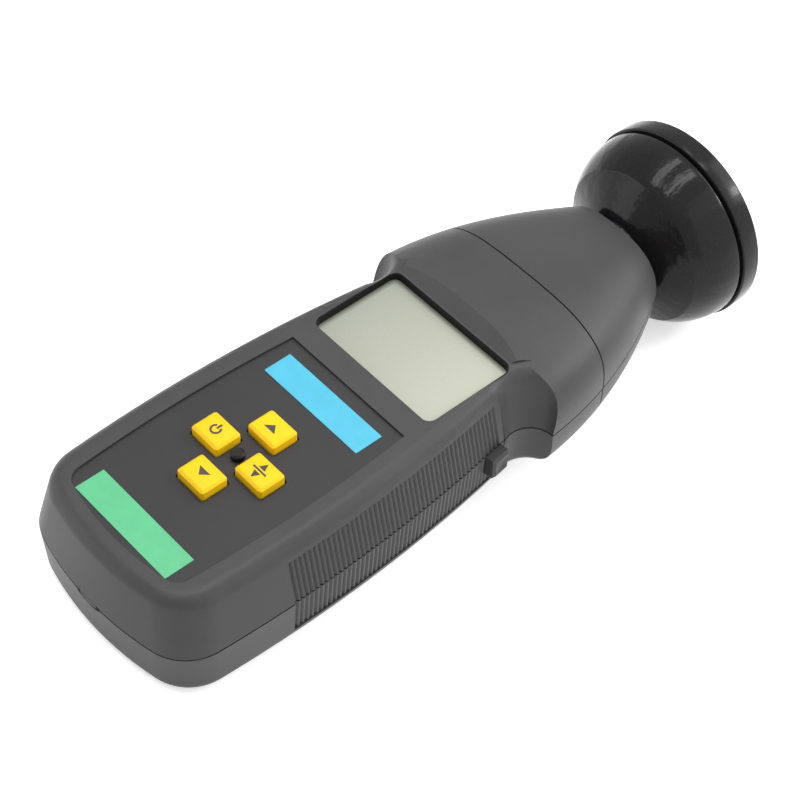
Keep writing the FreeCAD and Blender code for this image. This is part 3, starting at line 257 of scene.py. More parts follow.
def arc(start: Sequence[float], end: Sequence[float], radius: float, side: Side,
        count: int) -> np.ndarray:
    """Points of the arc between two points of a profile.

    The centre lies on the chord's perpendicular bisector, at the root of
    radius squared less half the chord squared. The points share the angle evenly.

    Args:
        start: First point.
        end: Last point.
        radius: Radius of the arc, in metres.
        side: The side to which the arc bulges.
        count: Number of points.

    Returns:
        Array of points, (count, 2).
    """
    a, b = np.array(start, dtype=float), np.array(end, dtype=float)
    chord = b - a
    bulge = unit(np.array([-chord[1], chord[0]])) * side.value
    drop = math.sqrt(max(radius ** 2 - chord @ chord / 4.0, 0.0))
    centre = (a + b) / 2.0 - bulge * drop
    first, last = (math.atan2(*(point - centre)[::-1]) for point in (a, b))
    sweep = (last - first + math.pi) % TURN - math.pi
    angles = first + sweep * np.linspace(0.0, 1.0, count)
    return centre + radius * np.stack([np.cos(angles), np.sin(angles)], axis=1)


def rounded(corners: Sequence[Triple]) -> np.ndarray:
    """Round the corners of a profile.

    Each corner with a radius becomes the arc that touches both of its sides, which starts
    radius times tan(turn / 2) before the corner and ends as far after it.

    Args:
        corners: (radius from the axis, station, rounding) rows, in metres.

    Returns:
        Array of (radius, station) rows.
    """
    least_turn = 1e-3
    points = [np.array(corners[0][:2])]
    for before, corner, after in zip(corners, corners[1:], corners[2:]):
        here = np.array(corner[:2])
        coming, going = unit(here - before[:2]), unit(after[:2] - here)
        cross = coming[0] * going[1] - coming[1] * going[0]
        turn = abs(math.atan2(cross, coming @ going))
        if corner[2] == 0.0 or turn < least_turn:
            points.append(here)
            continue
        back = corner[2] * math.tan(turn / 2.0)
        points.extend(arc(here - coming * back, here + going * back, corner[2],
                          Side.RIGHT if cross > 0.0 else Side.LEFT, ROUNDING_POINTS))
    points.append(np.array(corners[-1][:2]))
    return np.array(points)


def rounded_loop(half_x: float, half_y: float, corner: float) -> np.ndarray:
    """Points round a rectangle with rounded corners, counter-clockwise about the origin.

    Each corner is a quarter turn of the corner radius about a centre that lies in from both
    sides by that radius.

    Args:
        half_x: Half the width, in metres.
        half_y: Half the length, in metres.
        corner: Radius of the corners, in metres.

    Returns:
        Array of points, (four corners' points, 2).
    """
    quarter = np.linspace(0.0, TURN / 4.0, CORNER_POINTS)[None, :]
    angle = (quarter + TURN / 4.0 * np.arange(4)[:, None]).ravel()
    signs = np.repeat([[1.0, 1.0], [-1.0, 1.0], [-1.0, -1.0], [1.0, -1.0]], CORNER_POINTS, 0)
    centre = signs * np.array([half_x - corner, half_y - corner])
    return centre + corner * np.stack([np.cos(angle), np.sin(angle)], axis=1)


def stacked_loops(half: Sequence[float], corner: float, profile: np.ndarray,
                  centre: Sequence[float], rows: Edge = Edge.OPEN) -> Patch:
    """Stack rounded rectangles that shrink by a profile's inset at the profile's level.

    Args:
        half: Half width and half length of the outermost loop, in metres.
        corner: Corner radius of that loop, in metres.
        profile: Array of (inset, level) rows, in metres.
        centre: Centre of the loops across and along the object, in metres.
        rows: Closed where the last loop joins the first, as in a frame.

    Returns:
        The grid.
    """
    loops = []
    for inset, level in profile:
        loop = rounded_loop(half[0] - inset, half[1] - inset, max(corner - inset, 0.0)) + centre
        loops.append(np.column_stack([loop, np.full(len(loop), level)]))
    return Patch(np.stack(loops), rows)


def tube_along(path: np.ndarray, radius: float, around: int = 8) -> Patch:
    """Carry a circle along a path.

    At each point the circle lies in the plane square to the path, on two directions: the
    path's tangent crossed with a fixed guide, and that one crossed with the tangent.

    Args:
        path: Points of the path, (count, 3), in metres.
        radius: Radius of the tube, in metres.
        around: Points round the circle.

    Returns:
        The grid, with both ends drawn in to a point.
    """
    # No tube of the object runs along this direction
    guide = np.array([0.31, 0.17, 0.94])
    tangent = unit(np.gradient(path, axis=0))
    side = unit(np.cross(tangent, guide))
    up = np.cross(side, tangent)
    angle = np.linspace(0.0, TURN, around, endpoint=False)[None, :, None]
    rings = path[:, None] + radius * (np.cos(angle) * side[:, None] + np.sin(angle) * up[:, None])
    ends = [np.repeat(path[[place], None], around, axis=1) for place in (0, -1)]
    return Patch(np.concatenate([ends[0], rings, ends[1]]))


# Shader maths


class Value:
    """A socket of a graph, with arithmetic written as Python expressions."""

    def __init__(self, graph: "Graph", node: bpy.types.Node, output: int | str = 0) -> None:
        """Hold one output of a node, by its name or number."""
        self.graph, self.node = graph, node
        self.socket = node.outputs[output]

    def out(self, output: int | str) -> "Value":
        """Another output of the same node."""
        return Value(self.graph, self.node, output)

    def math(self, operation: str, first: "Value | float",
             second: "Value | float" = 0.0) -> "Value":
        """Add a Math node."""
        return self.graph.node("ShaderNodeMath", {"operation": operation},
                               {0: first, 1: second})

    def __add__(self, other: "Value | float") -> "Value":
        """Sum of two values."""
        return self.math("ADD", self, other)

    __radd__ = __add__

    def __mul__(self, other: "Value | float") -> "Value":
        """Product of two values."""
        return self.math("MULTIPLY", self, other)

    __rmul__ = __mul__

    def __sub__(self, other: "Value | float") -> "Value":
        """This value less the other."""
        return self.math("SUBTRACT", self, other)

    def __rsub__(self, other: "Value | float") -> "Value":
        """The other value less this one."""
        return self.math("SUBTRACT", other, self)

    def __gt__(self, other: "Value | float") -> "Value":
        """1 where this value is greater than the other, 0 elsewhere."""
        return self.math("GREATER_THAN", self, other)

    def sine(self) -> "Value":
        """Sine of the value."""
        return self.math("SINE", self)

    def size(self) -> "Value":
        """The value without its sign."""
        return self.math("ABSOLUTE", self)

    def root(self) -> "Value":
        """Square root of the value."""
        return self.math("SQRT", self)

    def larger(self, other: "Value | float") -> "Value":
        """The larger of two values."""
        return self.math("MAXIMUM", self, other)


class Graph:
    """Node graph of a material or of the world, emptied before use."""

    def __init__(self, owner: bpy.types.Material | bpy.types.World) -> None:
        """Empty the owner's graph.

        Args:
            owner: The material or the world.
        """
        owner.use_nodes = True
        self.tree = owner.node_tree
        self.tree.nodes.clear()

    def node(self, kind: str, settings: Mapping | None = None,
             inputs: Mapping | None = None, output: int | str = 0) -> Value:
        """Add a node.

        Args:
            kind: Type of the node.
            settings: Its settings by name, which are set first.
            inputs: Values or links of its sockets, by name or number.
            output: The output that is returned.

        Returns:
            The chosen output.
        """
        made = self.tree.nodes.new(kind)
        for name, value in (settings or {}).items():
            setattr(made, name, value)
        for name, value in (inputs or {}).items():
            if isinstance(value, Value):
                self.tree.links.new(value.socket, made.inputs[name])
            else:
                made.inputs[name].default_value = value
        return Value(self, made, output)

    def own_place(self) -> Value:
        """Object coordinates turned into the object's own frame, in metres."""
        place = self.node("ShaderNodeTexCoord", output="Object")
        return self.node("ShaderNodeMapping", {"vector_type": "TEXTURE"},
                         {"Vector": place, "Location": tuple(LIE.shift),
                          "Rotation": (LIE.lean, 0.0, 0.0)})

    def seen_directly(self) -> Value:
        """1 for camera, mirror and glass rays, 0 for the rays that light the object."""
        path = self.node("ShaderNodeLightPath", output="Is Camera Ray")
        return path.larger(path.out("Is Glossy Ray")).larger(path.out("Is Transmission Ray"))

    def split(self, vector: Value) -> tuple[Value, Value, Value]:
        """The three parts of a vector."""
        parts = self.node("ShaderNodeSeparateXYZ", inputs={0: vector})
        return parts, parts.out(1), parts.out(2)

    def noise(self, vector: Value, size: float, detail: float = 3.0) -> Value:
        """Noise whose lumps have about the given size in metres, from 0 to 1."""
        return self.node("ShaderNodeTexNoise", {"noise_dimensions": "3D"},
                         {"Vector": vector, "Scale": 1.0 / size, "Detail": detail})

    def mix(self, share: Value | float, first: Value | Colour, second: Value | Colour) -> Value:
        """Mix two colours."""
        ends = [end if isinstance(end, Value) else (*end, 1.0) for end in (first, second)]
        return self.node("ShaderNodeMix", {"data_type": "RGBA"},
                         {0: share, 6: ends[0], 7: ends[1]}, output=2)

    def spread(self, value: Value, low: float, high: float,
               start: float = 0.0, end: float = 1.0) -> Value:
        """Carry a value from the range low to high onto start to end, and hold it there."""
        return self.node("ShaderNodeMapRange", None,
                         {"Value": value, "From Min": low, "From Max": high,
                          "To Min": start, "To Max": end})

    def vary(self, noise: Value, start: float = 0.0, end: float = 1.0) -> Value:
        """Carry the range that a noise mostly keeps to onto start to end."""
        return self.spread(noise, *NOISE_RANGE, start, end)

    def bump(self, height: Value, depth: float) -> Value:
        """Bump whose height of 1 stands for depth metres."""
        return self.node("ShaderNodeBump", None, {"Height": height, "Distance": depth})

    def finish(self, shader: Value, kind: str = "ShaderNodeOutputMaterial") -> None:
        """Link a shader to the graph's output."""
        out = self.tree.nodes.new(kind)
        self.tree.links.new(shader.socket, out.inputs["Surface"])


class Shader(Graph):
    """Graph of one material."""

    def __init__(self, name: str) -> None:
        """Start a material of the given name."""
        self.material = bpy.data.materials.new(name)
        super().__init__(self.material)

    def surface(self, inputs: Mapping) -> bpy.types.Material:
        """Finish the material with one Principled shader.

        Args:
            inputs: Values or links of the shader's sockets. Three numbers are a colour.

        Returns:
            The material.
        """
        ready = {name: (*value, 1.0) if isinstance(value, tuple) else value
                 for name, value in inputs.items()}
        self.finish(self.node("ShaderNodeBsdfPrincipled", None, ready))
        return self.material


# Finishes


def scaled(colour: Colour, share: float, lift: float = 0.0) -> Colour:
    """A colour times a share plus a lift, at most 1."""
    return tuple(min(part * share + lift, 1.0) for part in colour)


@dataclass(frozen=True)
class Finish:
    """A finish, which builds its own material."""

    name: str

    def material(self) -> bpy.types.Material:
        """Build the material."""
        raise NotImplementedError


@dataclass(frozen=True)
class SeamShadows:
    """Painted shadow on the housing's seams: parting line, joint of grip and nose, pry notch.

    A line is dark up to the first number of its fade and gone at the second. The notch's are
    parts of its half-axes, and its outline starts a little above the parting line.
    """

    fade: Pair = (0.20 * MM, 0.34 * MM)
    notch_half: float = 4.4 * MM
    notch_depth: float = 1.8 * MM
    notch_fade: Pair = (0.13, 0.22)
    notch_start: float = -0.3
    # Colour of the painted shadow in the seams
    colour: Colour = (0.004, 0.004, 0.004)
    roughness: float = 0.9

    def share(self, shader: Shader, place: Value) -> Value:
        """1 on the lines of painted shadow, 0 off them.

        The notch's outline is the lower half of an ellipse: the root of side squared plus
        drop squared, both measured in its half-axes, is 1 on it. Only the rear has it, where
        the place along the object is below 0.

        Args:
            shader: The material's graph.
            place: The place in the object's own frame.

        Returns:
            The largest of the three lines' shares.
        """
        across, along, level = shader.split(place)
        parting, joint = (shader.spread((value - at).size(), *self.fade, 1.0, 0.0)
                          for value, at in ((level, PARTING), (along, NOSE_JOINT)))
        side = across * (1.0 / self.notch_half)
        drop = (PARTING - level) * (1.0 / self.notch_depth)
        reach = (side * side + drop * drop).root()
        outline = shader.spread((reach - 1.0).size(), *self.notch_fade, 1.0, 0.0)
        here = (drop > self.notch_start) * ((0.0 - along) > 0.0)
        return parting.larger(joint).larger(outline * here)


@dataclass(frozen=True)
class MouldedPlastic(Finish):
    """Moulded plastic: fine spark-eroded grain, faint patches of handling, painted seam shadow.
    """

    colour: Colour
    roughness: float = 0.46
    grain: float = 0.45 * MM
    depth: float = 0.012 * MM
    patches: float = 0.10
    patch_size: float = 22.0 * MM
    specular: float = 0.5
    seam_shadows: SeamShadows | None = None

    def material(self) -> bpy.types.Material:
        """Build the material: broad noise for the patches, fine noise for the grain.

        Returns:
            The material.
        """
        shader = Shader(self.name)
        place = shader.own_place()
        grain = shader.noise(place, self.grain, 2.0)
        broad = shader.noise(place, self.patch_size, 4.0)
        light = scaled(self.colour, 1.0 + self.patches)
        patchy = shader.mix(shader.vary(broad), scaled(self.colour, 1.0 - self.patches), light)
        colour = shader.mix(shader.spread(grain, 0.35, 0.75, 0.0, 0.35), patchy, light)
        rough = shader.vary(broad, self.roughness - 0.04, self.roughness + 0.05)
        # Painted shadow: the seams are darkened and roughened
        if self.seam_shadows is not None:
            seam_shadow = self.seam_shadows.share(shader, place)
            colour = shader.mix(seam_shadow, colour, self.seam_shadows.colour)
            rough = rough.larger(seam_shadow * self.seam_shadows.roughness)
        return shader.surface({
            "Base Color": colour,
            "Roughness": rough,
            "Specular IOR Level": self.specular,
            "Normal": shader.bump(grain, self.depth),
        })


@dataclass(frozen=True)
class PolishedPlastic(Finish):
    """Polished black plastic with a little dust and a faint waviness from its mould."""

    colour: Colour
    roughness: float
    waviness: float
    wave_size: float = 3.6 * MM
    stretch: Triple = (1.0, 0.3, 1.0)
    dust_size: float = 0.9 * MM
    dust: Colour = (0.10, 0.10, 0.10)
    specular: float = 0.16

    def material(self) -> bpy.types.Material:
        """Build the material: noise drawn out along the object for the waves, fine for dust.

        Returns:
            The material.
        """
        shader = Shader(self.name)
        place = shader.own_place()
        along = shader.node("ShaderNodeVectorMath", {"operation": "MULTIPLY"},
                            {0: place, 1: self.stretch})
        waves = shader.noise(along, self.wave_size, 2.5)
        dust = shader.noise(place, self.dust_size, 6.0)
        haze = shader.spread(dust, 0.55, 0.85, 0.0, 0.10)
        return shader.surface({
            "Base Color": shader.mix(haze, self.colour, self.dust),
            "Roughness": shader.spread(dust, 0.3, 0.8, self.roughness, self.roughness + 0.12),
            "Specular IOR Level": self.specular,
            "Normal": shader.bump(waves, self.waviness),
        })


@dataclass(frozen=True)
class PrintedFilm(Finish):
    """Printed label film: even ink with a faint screen of dots under a smooth top."""

    colour: Colour
    screen: float = 0.35 * MM
    uneven: float = 6.0 * MM
    dark: float = 0.86

    def material(self) -> bpy.types.Material:
        """Build the material: cells for the screen's dots, noise for the ink.

        Returns:
            The material.
        """
        shader = Shader(self.name)
        place = shader.own_place()
        ink = shader.noise(place, self.uneven, 4.0)
        screen = shader.node("ShaderNodeTexVoronoi", None,
                             {"Vector": place, "Scale": 1.0 / self.screen})
        darker = scaled(self.colour, self.dark)
        base = shader.mix(shader.vary(ink), self.colour, darker)
        dots = shader.spread(screen, 0.1, 0.6, 0.0, 0.25)
        return shader.surface({
            "Base Color": shader.mix(dots, base, darker),
            "Roughness": shader.vary(ink, 0.30, 0.38),
            "Normal": shader.bump(ink, 0.01 * MM),
        })


@dataclass(frozen=True)
class DisplayGlass(Finish):
    """Blank reflective display: grey-green film with a faint cell grain under its glass.

    Its film has painted shade to the left and painted shadow close under its left and far walls.
    """

    colour: Colour
    left_shade_colour: Colour
    wall_shadow_colour: Colour = (0.05, 0.05, 0.04)
    left: float = -24.4 * MM
    right: float = 24.4 * MM
    far: float = 116.95 * MM
    wall_shade: float = 1.9 * MM
    cell: float = 0.25 * MM

    def material(self) -> bpy.types.Material:
        """Build the material: painted shade from left to right, and painted shadow at two walls.

        Returns:
            The material.
        """
        shader = Shader(self.name)
        place = shader.own_place()
        across, along, _ = shader.split(place)
        grain = shader.noise(place, self.cell, 2.0)
        # Painted shade: the film runs from a darker colour at the left to its own colour
        base = shader.mix(shader.spread(across, self.left, self.right),
                          self.left_shade_colour, self.colour)
        # Painted shadow close under the left and far walls
        past_wall = (self.left - across).larger(along - self.far)
        shade = shader.spread(past_wall, -self.wall_shade, 0.0, 0.0, 0.85)
        base = shader.mix(shade, base, self.wall_shadow_colour)
        cells = shader.spread(grain, 0.3, 0.8, 0.0, 0.25)
        return shader.surface({
            "Base Color": shader.mix(cells, base, scaled(self.colour, 0.94)),
            "Roughness": shader.spread(grain, 0.3, 0.8, 0.22, 0.30),
            "Coat Weight": 0.5,
            "Coat Roughness": 0.04,
        })


@dataclass(frozen=True)
class ClearGlass(Finish):
    """Clear glass with faint smears."""

    tint: Colour
    roughness: float = 0.02
    smear: float = 7.0 * MM

    def material(self) -> bpy.types.Material:
        """Build the material: broad noise for the smears.

        Returns:
            The material.
        """
        shader = Shader(self.name)
        smear = shader.noise(shader.own_place(), self.smear, 5.0)
        return shader.surface({
            "Base Color": self.tint,
            "Roughness": shader.spread(smear, 0.4, 0.8, self.roughness, self.roughness + 0.05),
            "Transmission Weight": 1.0,
            "IOR": 1.47,
        })


@dataclass(frozen=True)
class Metal(Finish):
    """Bare metal with fine scratches along one direction and a few dull stains."""

    colour: Colour
    roughness: float
    stretch: Triple = (1.0, 1.0, 1.0)
    depth: float = 0.004 * MM
    scratch: float = 0.5 * MM
    stain: float = 6.0 * MM

    def material(self) -> bpy.types.Material:
        """Build the material: fine noise for the scratches, broad noise for the stains.

        Returns:
            The material.
        """
        shader = Shader(self.name)
        drawn = shader.node("ShaderNodeMapping", None,
                            {"Vector": shader.own_place(), "Scale": self.stretch})
        scratches = shader.noise(drawn, self.scratch, 4.0)
        stain = shader.spread(shader.noise(drawn, self.stain), 0.4, 0.8)
        return shader.surface({
            "Base Color": shader.mix(stain, self.colour, scaled(self.colour, 0.72)),
            "Metallic": 1.0,
            "Roughness": shader.vary(scratches, self.roughness, self.roughness + 0.12),
            "Normal": shader.bump(scratches, self.depth),
        })


@dataclass(frozen=True)
class CircuitBoard(Finish):
    """Green lacquered board with copper tracks that show through as lighter lines."""

    lacquer: tuple[Colour, Colour] = ((0.012, 0.085, 0.035), (0.020, 0.115, 0.045))
    track: Colour = (0.05, 0.22, 0.08)
    pitch: float = 2.54 * MM
    uneven: float = 11.0 * MM

    def material(self) -> bpy.types.Material:
        """Build the material: a brick pattern's joints for the tracks, four pitches apart.

        Returns:
            The material.
        """
        shader = Shader(self.name)
        place = shader.own_place()
        tracks = shader.node("ShaderNodeTexBrick", {"offset": 0.5},
                             {"Vector": place, "Scale": 1.0 / (4.0 * self.pitch),
                              "Mortar Size": 0.06}, "Fac")
        patchy = shader.noise(place, self.uneven)
        return shader.surface({
            "Base Color": shader.mix(tracks, shader.mix(patchy, *self.lacquer), self.track),
            "Roughness": shader.vary(patchy, 0.28, 0.38),
            "Normal": shader.bump(tracks, 0.03 * MM),
        })


@dataclass(frozen=True)
class WoundWire(Finish):
    """Turns of lacquered wire or tape: fine ridges across one axis, painted shade between them.
    """

    colour: Colour
    axis: Axis
    pitch: float = 0.4 * MM

    def material(self) -> bpy.types.Material:
        """Build the material: the sine of the place along the axis makes the ridges.

        Returns:
            The material.
        """
        shader = Shader(self.name)
        along = shader.split(shader.own_place())[self.axis.value]
        ridge = (along * (TURN / self.pitch)).sine() * 0.5 + 0.5
        return shader.surface({
            # Painted shade: the valleys between turns are darker
            "Base Color": shader.mix(ridge, scaled(self.colour, 0.45), self.colour),
            "Roughness": shader.spread(ridge, 0.0, 1.0, 0.5, 0.3),
            "Normal": shader.bump(ridge, 0.08 * MM),
        })


@dataclass(frozen=True)
class CellSleeve(Finish):
    """Shrink sleeve of a battery cell: dark body with a lighter band round one end."""

    body: Colour
    band: Colour
    band_share: float = 0.24
    scuff: float = 2.5 * MM

    def material(self) -> bpy.types.Material:
        """Build the material: the band starts at its share of the cells' length.

        Returns:
            The material.
        """
        shader = Shader(self.name)
        place = shader.own_place()
        low, high = node_reach("battery_cells")
        on_band = shader.split(place)[1] > high[1] - self.band_share * (high[1] - low[1])
        scuff = shader.noise(place, self.scuff, 4.0)
        body = shader.mix(shader.spread(scuff, 0.5, 0.8), self.body,
                          scaled(self.body, 1.3, 0.01))
        return shader.surface({
            "Base Color": shader.mix(on_band, body, self.band),
            "Metallic": shader.spread(scuff, 0.4, 0.8, 0.15, 0.3),
            "Roughness": shader.vary(scuff, 0.25, 0.38),
            "Normal": shader.bump(scuff, 0.01 * MM),
        })


# The housing carries painted shadow along its seams
HOUSING = MouldedPlastic("housing charcoal", (0.047, 0.047, 0.048), 0.42, specular=0.22,
                         seam_shadows=SeamShadows())
BUTTON = MouldedPlastic("button charcoal", (0.036, 0.036, 0.037), 0.42, specular=0.22)
PANEL = MouldedPlastic("panel charcoal", (0.021, 0.020, 0.021), 0.40, 0.3 * MM, 0.006 * MM,
                       0.06, specular=0.3)
KEY_YELLOW = MouldedPlastic("key yellow", (0.83, 0.50, 0.004), 0.42, 0.35 * MM, 0.006 * MM,
                            0.06, specular=0.25)
STUD_BLACK = MouldedPlastic("stud black", (0.007, 0.007, 0.007), 0.38, specular=0.2)
LEGEND_INK = MouldedPlastic("legend ink", (0.030, 0.026, 0.020), 0.5, 0.2 * MM, 0.002 * MM)
FRAME_WHITE = MouldedPlastic("display frame white", (0.70, 0.70, 0.66), 0.5)
# Painted shade: near-black lining of the display window's walls
WALL_SHADE_BLACK = MouldedPlastic("window seal", (0.004, 0.004, 0.004), 0.5, 0.3 * MM, 0.004 * MM,
                            specular=0.15)
STRIP_GREY = MouldedPlastic("connector strip", (0.30, 0.26, 0.28), 0.6)
SWITCH_BLACK = MouldedPlastic("switch black", (0.025, 0.025, 0.027), 0.35)
CHIP_BLACK = MouldedPlastic("chip black", (0.020, 0.020, 0.022), 0.55)
CERAMIC = MouldedPlastic("socket ceramic", (0.78, 0.75, 0.68), 0.35)
GASKET = MouldedPlastic("gasket rubber", (0.022, 0.022, 0.022), 0.65)
LEAD_RED = MouldedPlastic("lead red", (0.42, 0.03, 0.02), 0.42)
BELL_BLACK = PolishedPlastic("bell black", (0.0095, 0.0085, 0.0095), 0.09, 0.16 * MM)
RING_BLACK = PolishedPlastic("ring black", (0.0100, 0.0095, 0.0100), 0.14, 0.06 * MM)
BLUE_FILM = PrintedFilm("blue film", (0.057, 0.43, 0.61))
GREEN_FILM = PrintedFilm("green film", (0.086, 0.455, 0.21))
# The display's second colour is its painted shade at the left
DISPLAY = DisplayGlass("blank display", (0.405, 0.415, 0.33), (0.255, 0.27, 0.225))
WINDOW = ClearGlass("lamp window", (0.97, 0.99, 1.0))
TUBE_GLASS = ClearGlass("flash tube glass", (0.96, 0.97, 1.0), 0.04)
MIRROR = Metal("reflector bright", (0.90, 0.91, 0.92), 0.08, depth=0.010 * MM)
STEEL = Metal("screw steel", (0.60, 0.60, 0.62), 0.28)
PLATED = Metal("contact plating", (0.72, 0.70, 0.66), 0.22, (1.0, 8.0, 1.0))
COPPER = Metal("trigger wire", (0.85, 0.45, 0.25), 0.25)
CAN = CellSleeve("cell sleeve", (0.02, 0.03, 0.06), (0.75, 0.48, 0.16))
CAPACITOR = MouldedPlastic("capacitor sleeve", (0.030, 0.035, 0.060), 0.3)
BOARD = CircuitBoard("circuit board")
WINDING = WoundWire("transformer tape", (0.75, 0.55, 0.12), Axis.ALONG)
COIL = WoundWire("coil winding", (0.10, 0.08, 0.07), Axis.UP)

NODE_FINISH = {
    "front_shell": HOUSING, "back_shell": HOUSING, "nose_upper": HOUSING,
    "nose_lower": HOUSING, "battery_door": HOUSING, "side_button": BUTTON,
    "face_plate": PANEL, "label_blue": BLUE_FILM, "label_green": GREEN_FILM,
    "centre_stud": STUD_BLACK, "key_power": KEY_YELLOW, "key_up": KEY_YELLOW,
    "key_down": KEY_YELLOW, "key_fine": KEY_YELLOW, "key_switches": SWITCH_BLACK,
    "lcd_glass": DISPLAY, "lcd_frame": FRAME_WHITE, "zebra_strips": STRIP_GREY,
    "main_board": BOARD, "control_chip": CHIP_BLACK, "board_screws": STEEL,
    "side_switch": SWITCH_BLACK, "battery_cells": CAN, "battery_springs": PLATED,
    "contact_plates": PLATED, "shell_screws": STEEL, "nose_screws": STEEL,
    "lamp_bowl": BELL_BLACK, "lamp_ring": RING_BLACK, "lamp_glass": WINDOW,
    "lens_gasket": GASKET, "reflector": MIRROR, "tube_socket": CERAMIC,
    "lamp_board": BOARD, "xenon_tube": TUBE_GLASS, "power_board": BOARD,
    "flash_capacitor": CAPACITOR, "inverter_transformer": WINDING, "trigger_coil": COIL,
    "lamp_leads": LEAD_RED,
}


class Workshop:
    """Makes pieces, dresses them and attaches them to their bodies."""

    def __init__(self) -> None:
        """Note each node's material slot and body."""
        record = frame["record"]
        self.materials: dict[str, bpy.types.Material] = {}
        self.slots = {item["node"]: item["material_slot"] for item in record["subparts"]}
        self.bodies = {node: body for body, nodes in record["behaviour"]["bodies"].items()
                       for node in nodes}

    def dress(self, mesh: bpy.types.Mesh, finish: Finish) -> None:
        """Give a mesh one finish, whose material is built once.

        Args:
            mesh: The mesh.
            finish: Its finish.
        """
        if finish.name not in self.materials:
            self.materials[finish.name] = finish.material()
        mesh.materials.clear()
        mesh.materials.append(self.materials[finish.name])

    def add(self, name: str, mesh: bpy.types.Mesh, finish: Finish, like: str,
            replaces: bool) -> bpy.types.Object:
        """Add a piece that goes with a CAD node.

        Args:
            name: Name of the piece.
            mesh: Its mesh, in the table's frame.
            finish: Its finish.
            like: The CAD node whose body it takes.
            replaces: Whether it stands for that node.

        Returns:
            The piece.
        """
        piece = bpy.data.objects.new(name, mesh)
        bpy.context.collection.objects.link(piece)
        self.dress(mesh, finish)
        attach(piece, self.bodies[like])
        if replaces:
            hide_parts(like)
        log.info("%s: %d faces, on %s", name, len(mesh.polygons), self.bodies[like])
        return piece

    def make(self, name: str, patches: Sequence[Patch], finish: Finish, like: str,
             replaces: bool = True, crease: float | None = CREASE) -> None:
        """Make a piece from grids.

        Args:
            name: Name of the piece and of its mesh.
            patches: The grids.
            finish: Its finish.
            like: The CAD node whose body it takes.
            replaces: Whether it stands for that node.
            crease: Edges sharper than this stay, in degrees. None leaves its faces flat.
        """
        mesh = mesh_from(name, patches)
        if crease is not None:
            smooth(mesh, crease)
        self.add(name, mesh, finish, like, replaces)

    def dress_nodes(self) -> None:
        """Give every CAD node its finish."""
        for node, item in frame["nodes"].items():
            self.dress(item.data, NODE_FINISH[node])

    def smooth_copy(self, node: str, name: str) -> None:
        """Stand a welded, smoothly shaded copy in for a moulded CAD node.

        Weighted normals keep its flat faces flat.

        Args:
            node: The CAD node.
            name: Name of the copy.
        """
        mesh = frame["nodes"][node].data.copy()
        mesh.name = name
        weld(mesh, 2.0 * WELD, turn_out=False)
        if mesh.has_custom_normals:
            mesh.attributes.remove(mesh.attributes["custom_normal"])
        smooth(mesh, FACET_ANGLE)
        piece = self.add(name, mesh, NODE_FINISH[node], node, replaces=True)
        weighted = piece.modifiers.new("flat faces stay flat", "WEIGHTED_NORMAL")
        weighted.keep_sharp = True


@dataclass
class Assembly:
    """A sub-assembly of the object, whose pieces one workshop makes."""

    shop: Workshop

    def build(self) -> None:
        """Make the pieces."""
        raise NotImplementedError


@dataclass
class Housing(Assembly):
    """Moulded shells of the grip and the nose, the battery door and the side button."""

    skins: dict[str, str] = field(default_factory=lambda: {
        "front_shell": "front_moulding", "back_shell": "back_moulding",
        "nose_upper": "nose_top_moulding", "nose_lower": "nose_back_moulding",
        "battery_door": "door_moulding", "side_button": "side_button_cap",
    })

    def build(self) -> None:
        """Stand smooth copies in for the moulded nodes."""
        for node, name in self.skins.items():
            self.shop.smooth_copy(node, name)


@dataclass
class DisplayWindow(Assembly):
    """Near-black lining that paints shade on the walls of the display's window, down to the
    display.
    """

    half: Pair = (24.85 * MM, 15.9 * MM)
    station: float = 101.5 * MM
    corner: float = 3.0 * MM
    wall: float = 0.45 * MM
    top: float = 36.7 * MM

    def build(self) -> None:
        """Stack the lining's loops from the display up to just under the face.

        The loops go up the inner wall, over a small bevel and down the outer wall.
        """
        foot = node_reach("lcd_glass")[1][2]
        profile = np.array([(0.0, foot), (self.wall, foot), (self.wall, self.top - self.wall),
                            (self.wall / 2.0, self.top), (0.0, self.top)])
        loops = stacked_loops(self.half, self.corner, profile, (0.0, self.station),
                              Edge.CLOSED)
        # A dark sheet that stands in for the shade on the window's walls
        self.shop.make("window_wall_shade", [loops], WALL_SHADE_BLACK, "face_plate", replaces=False,
                       crease=50.0)


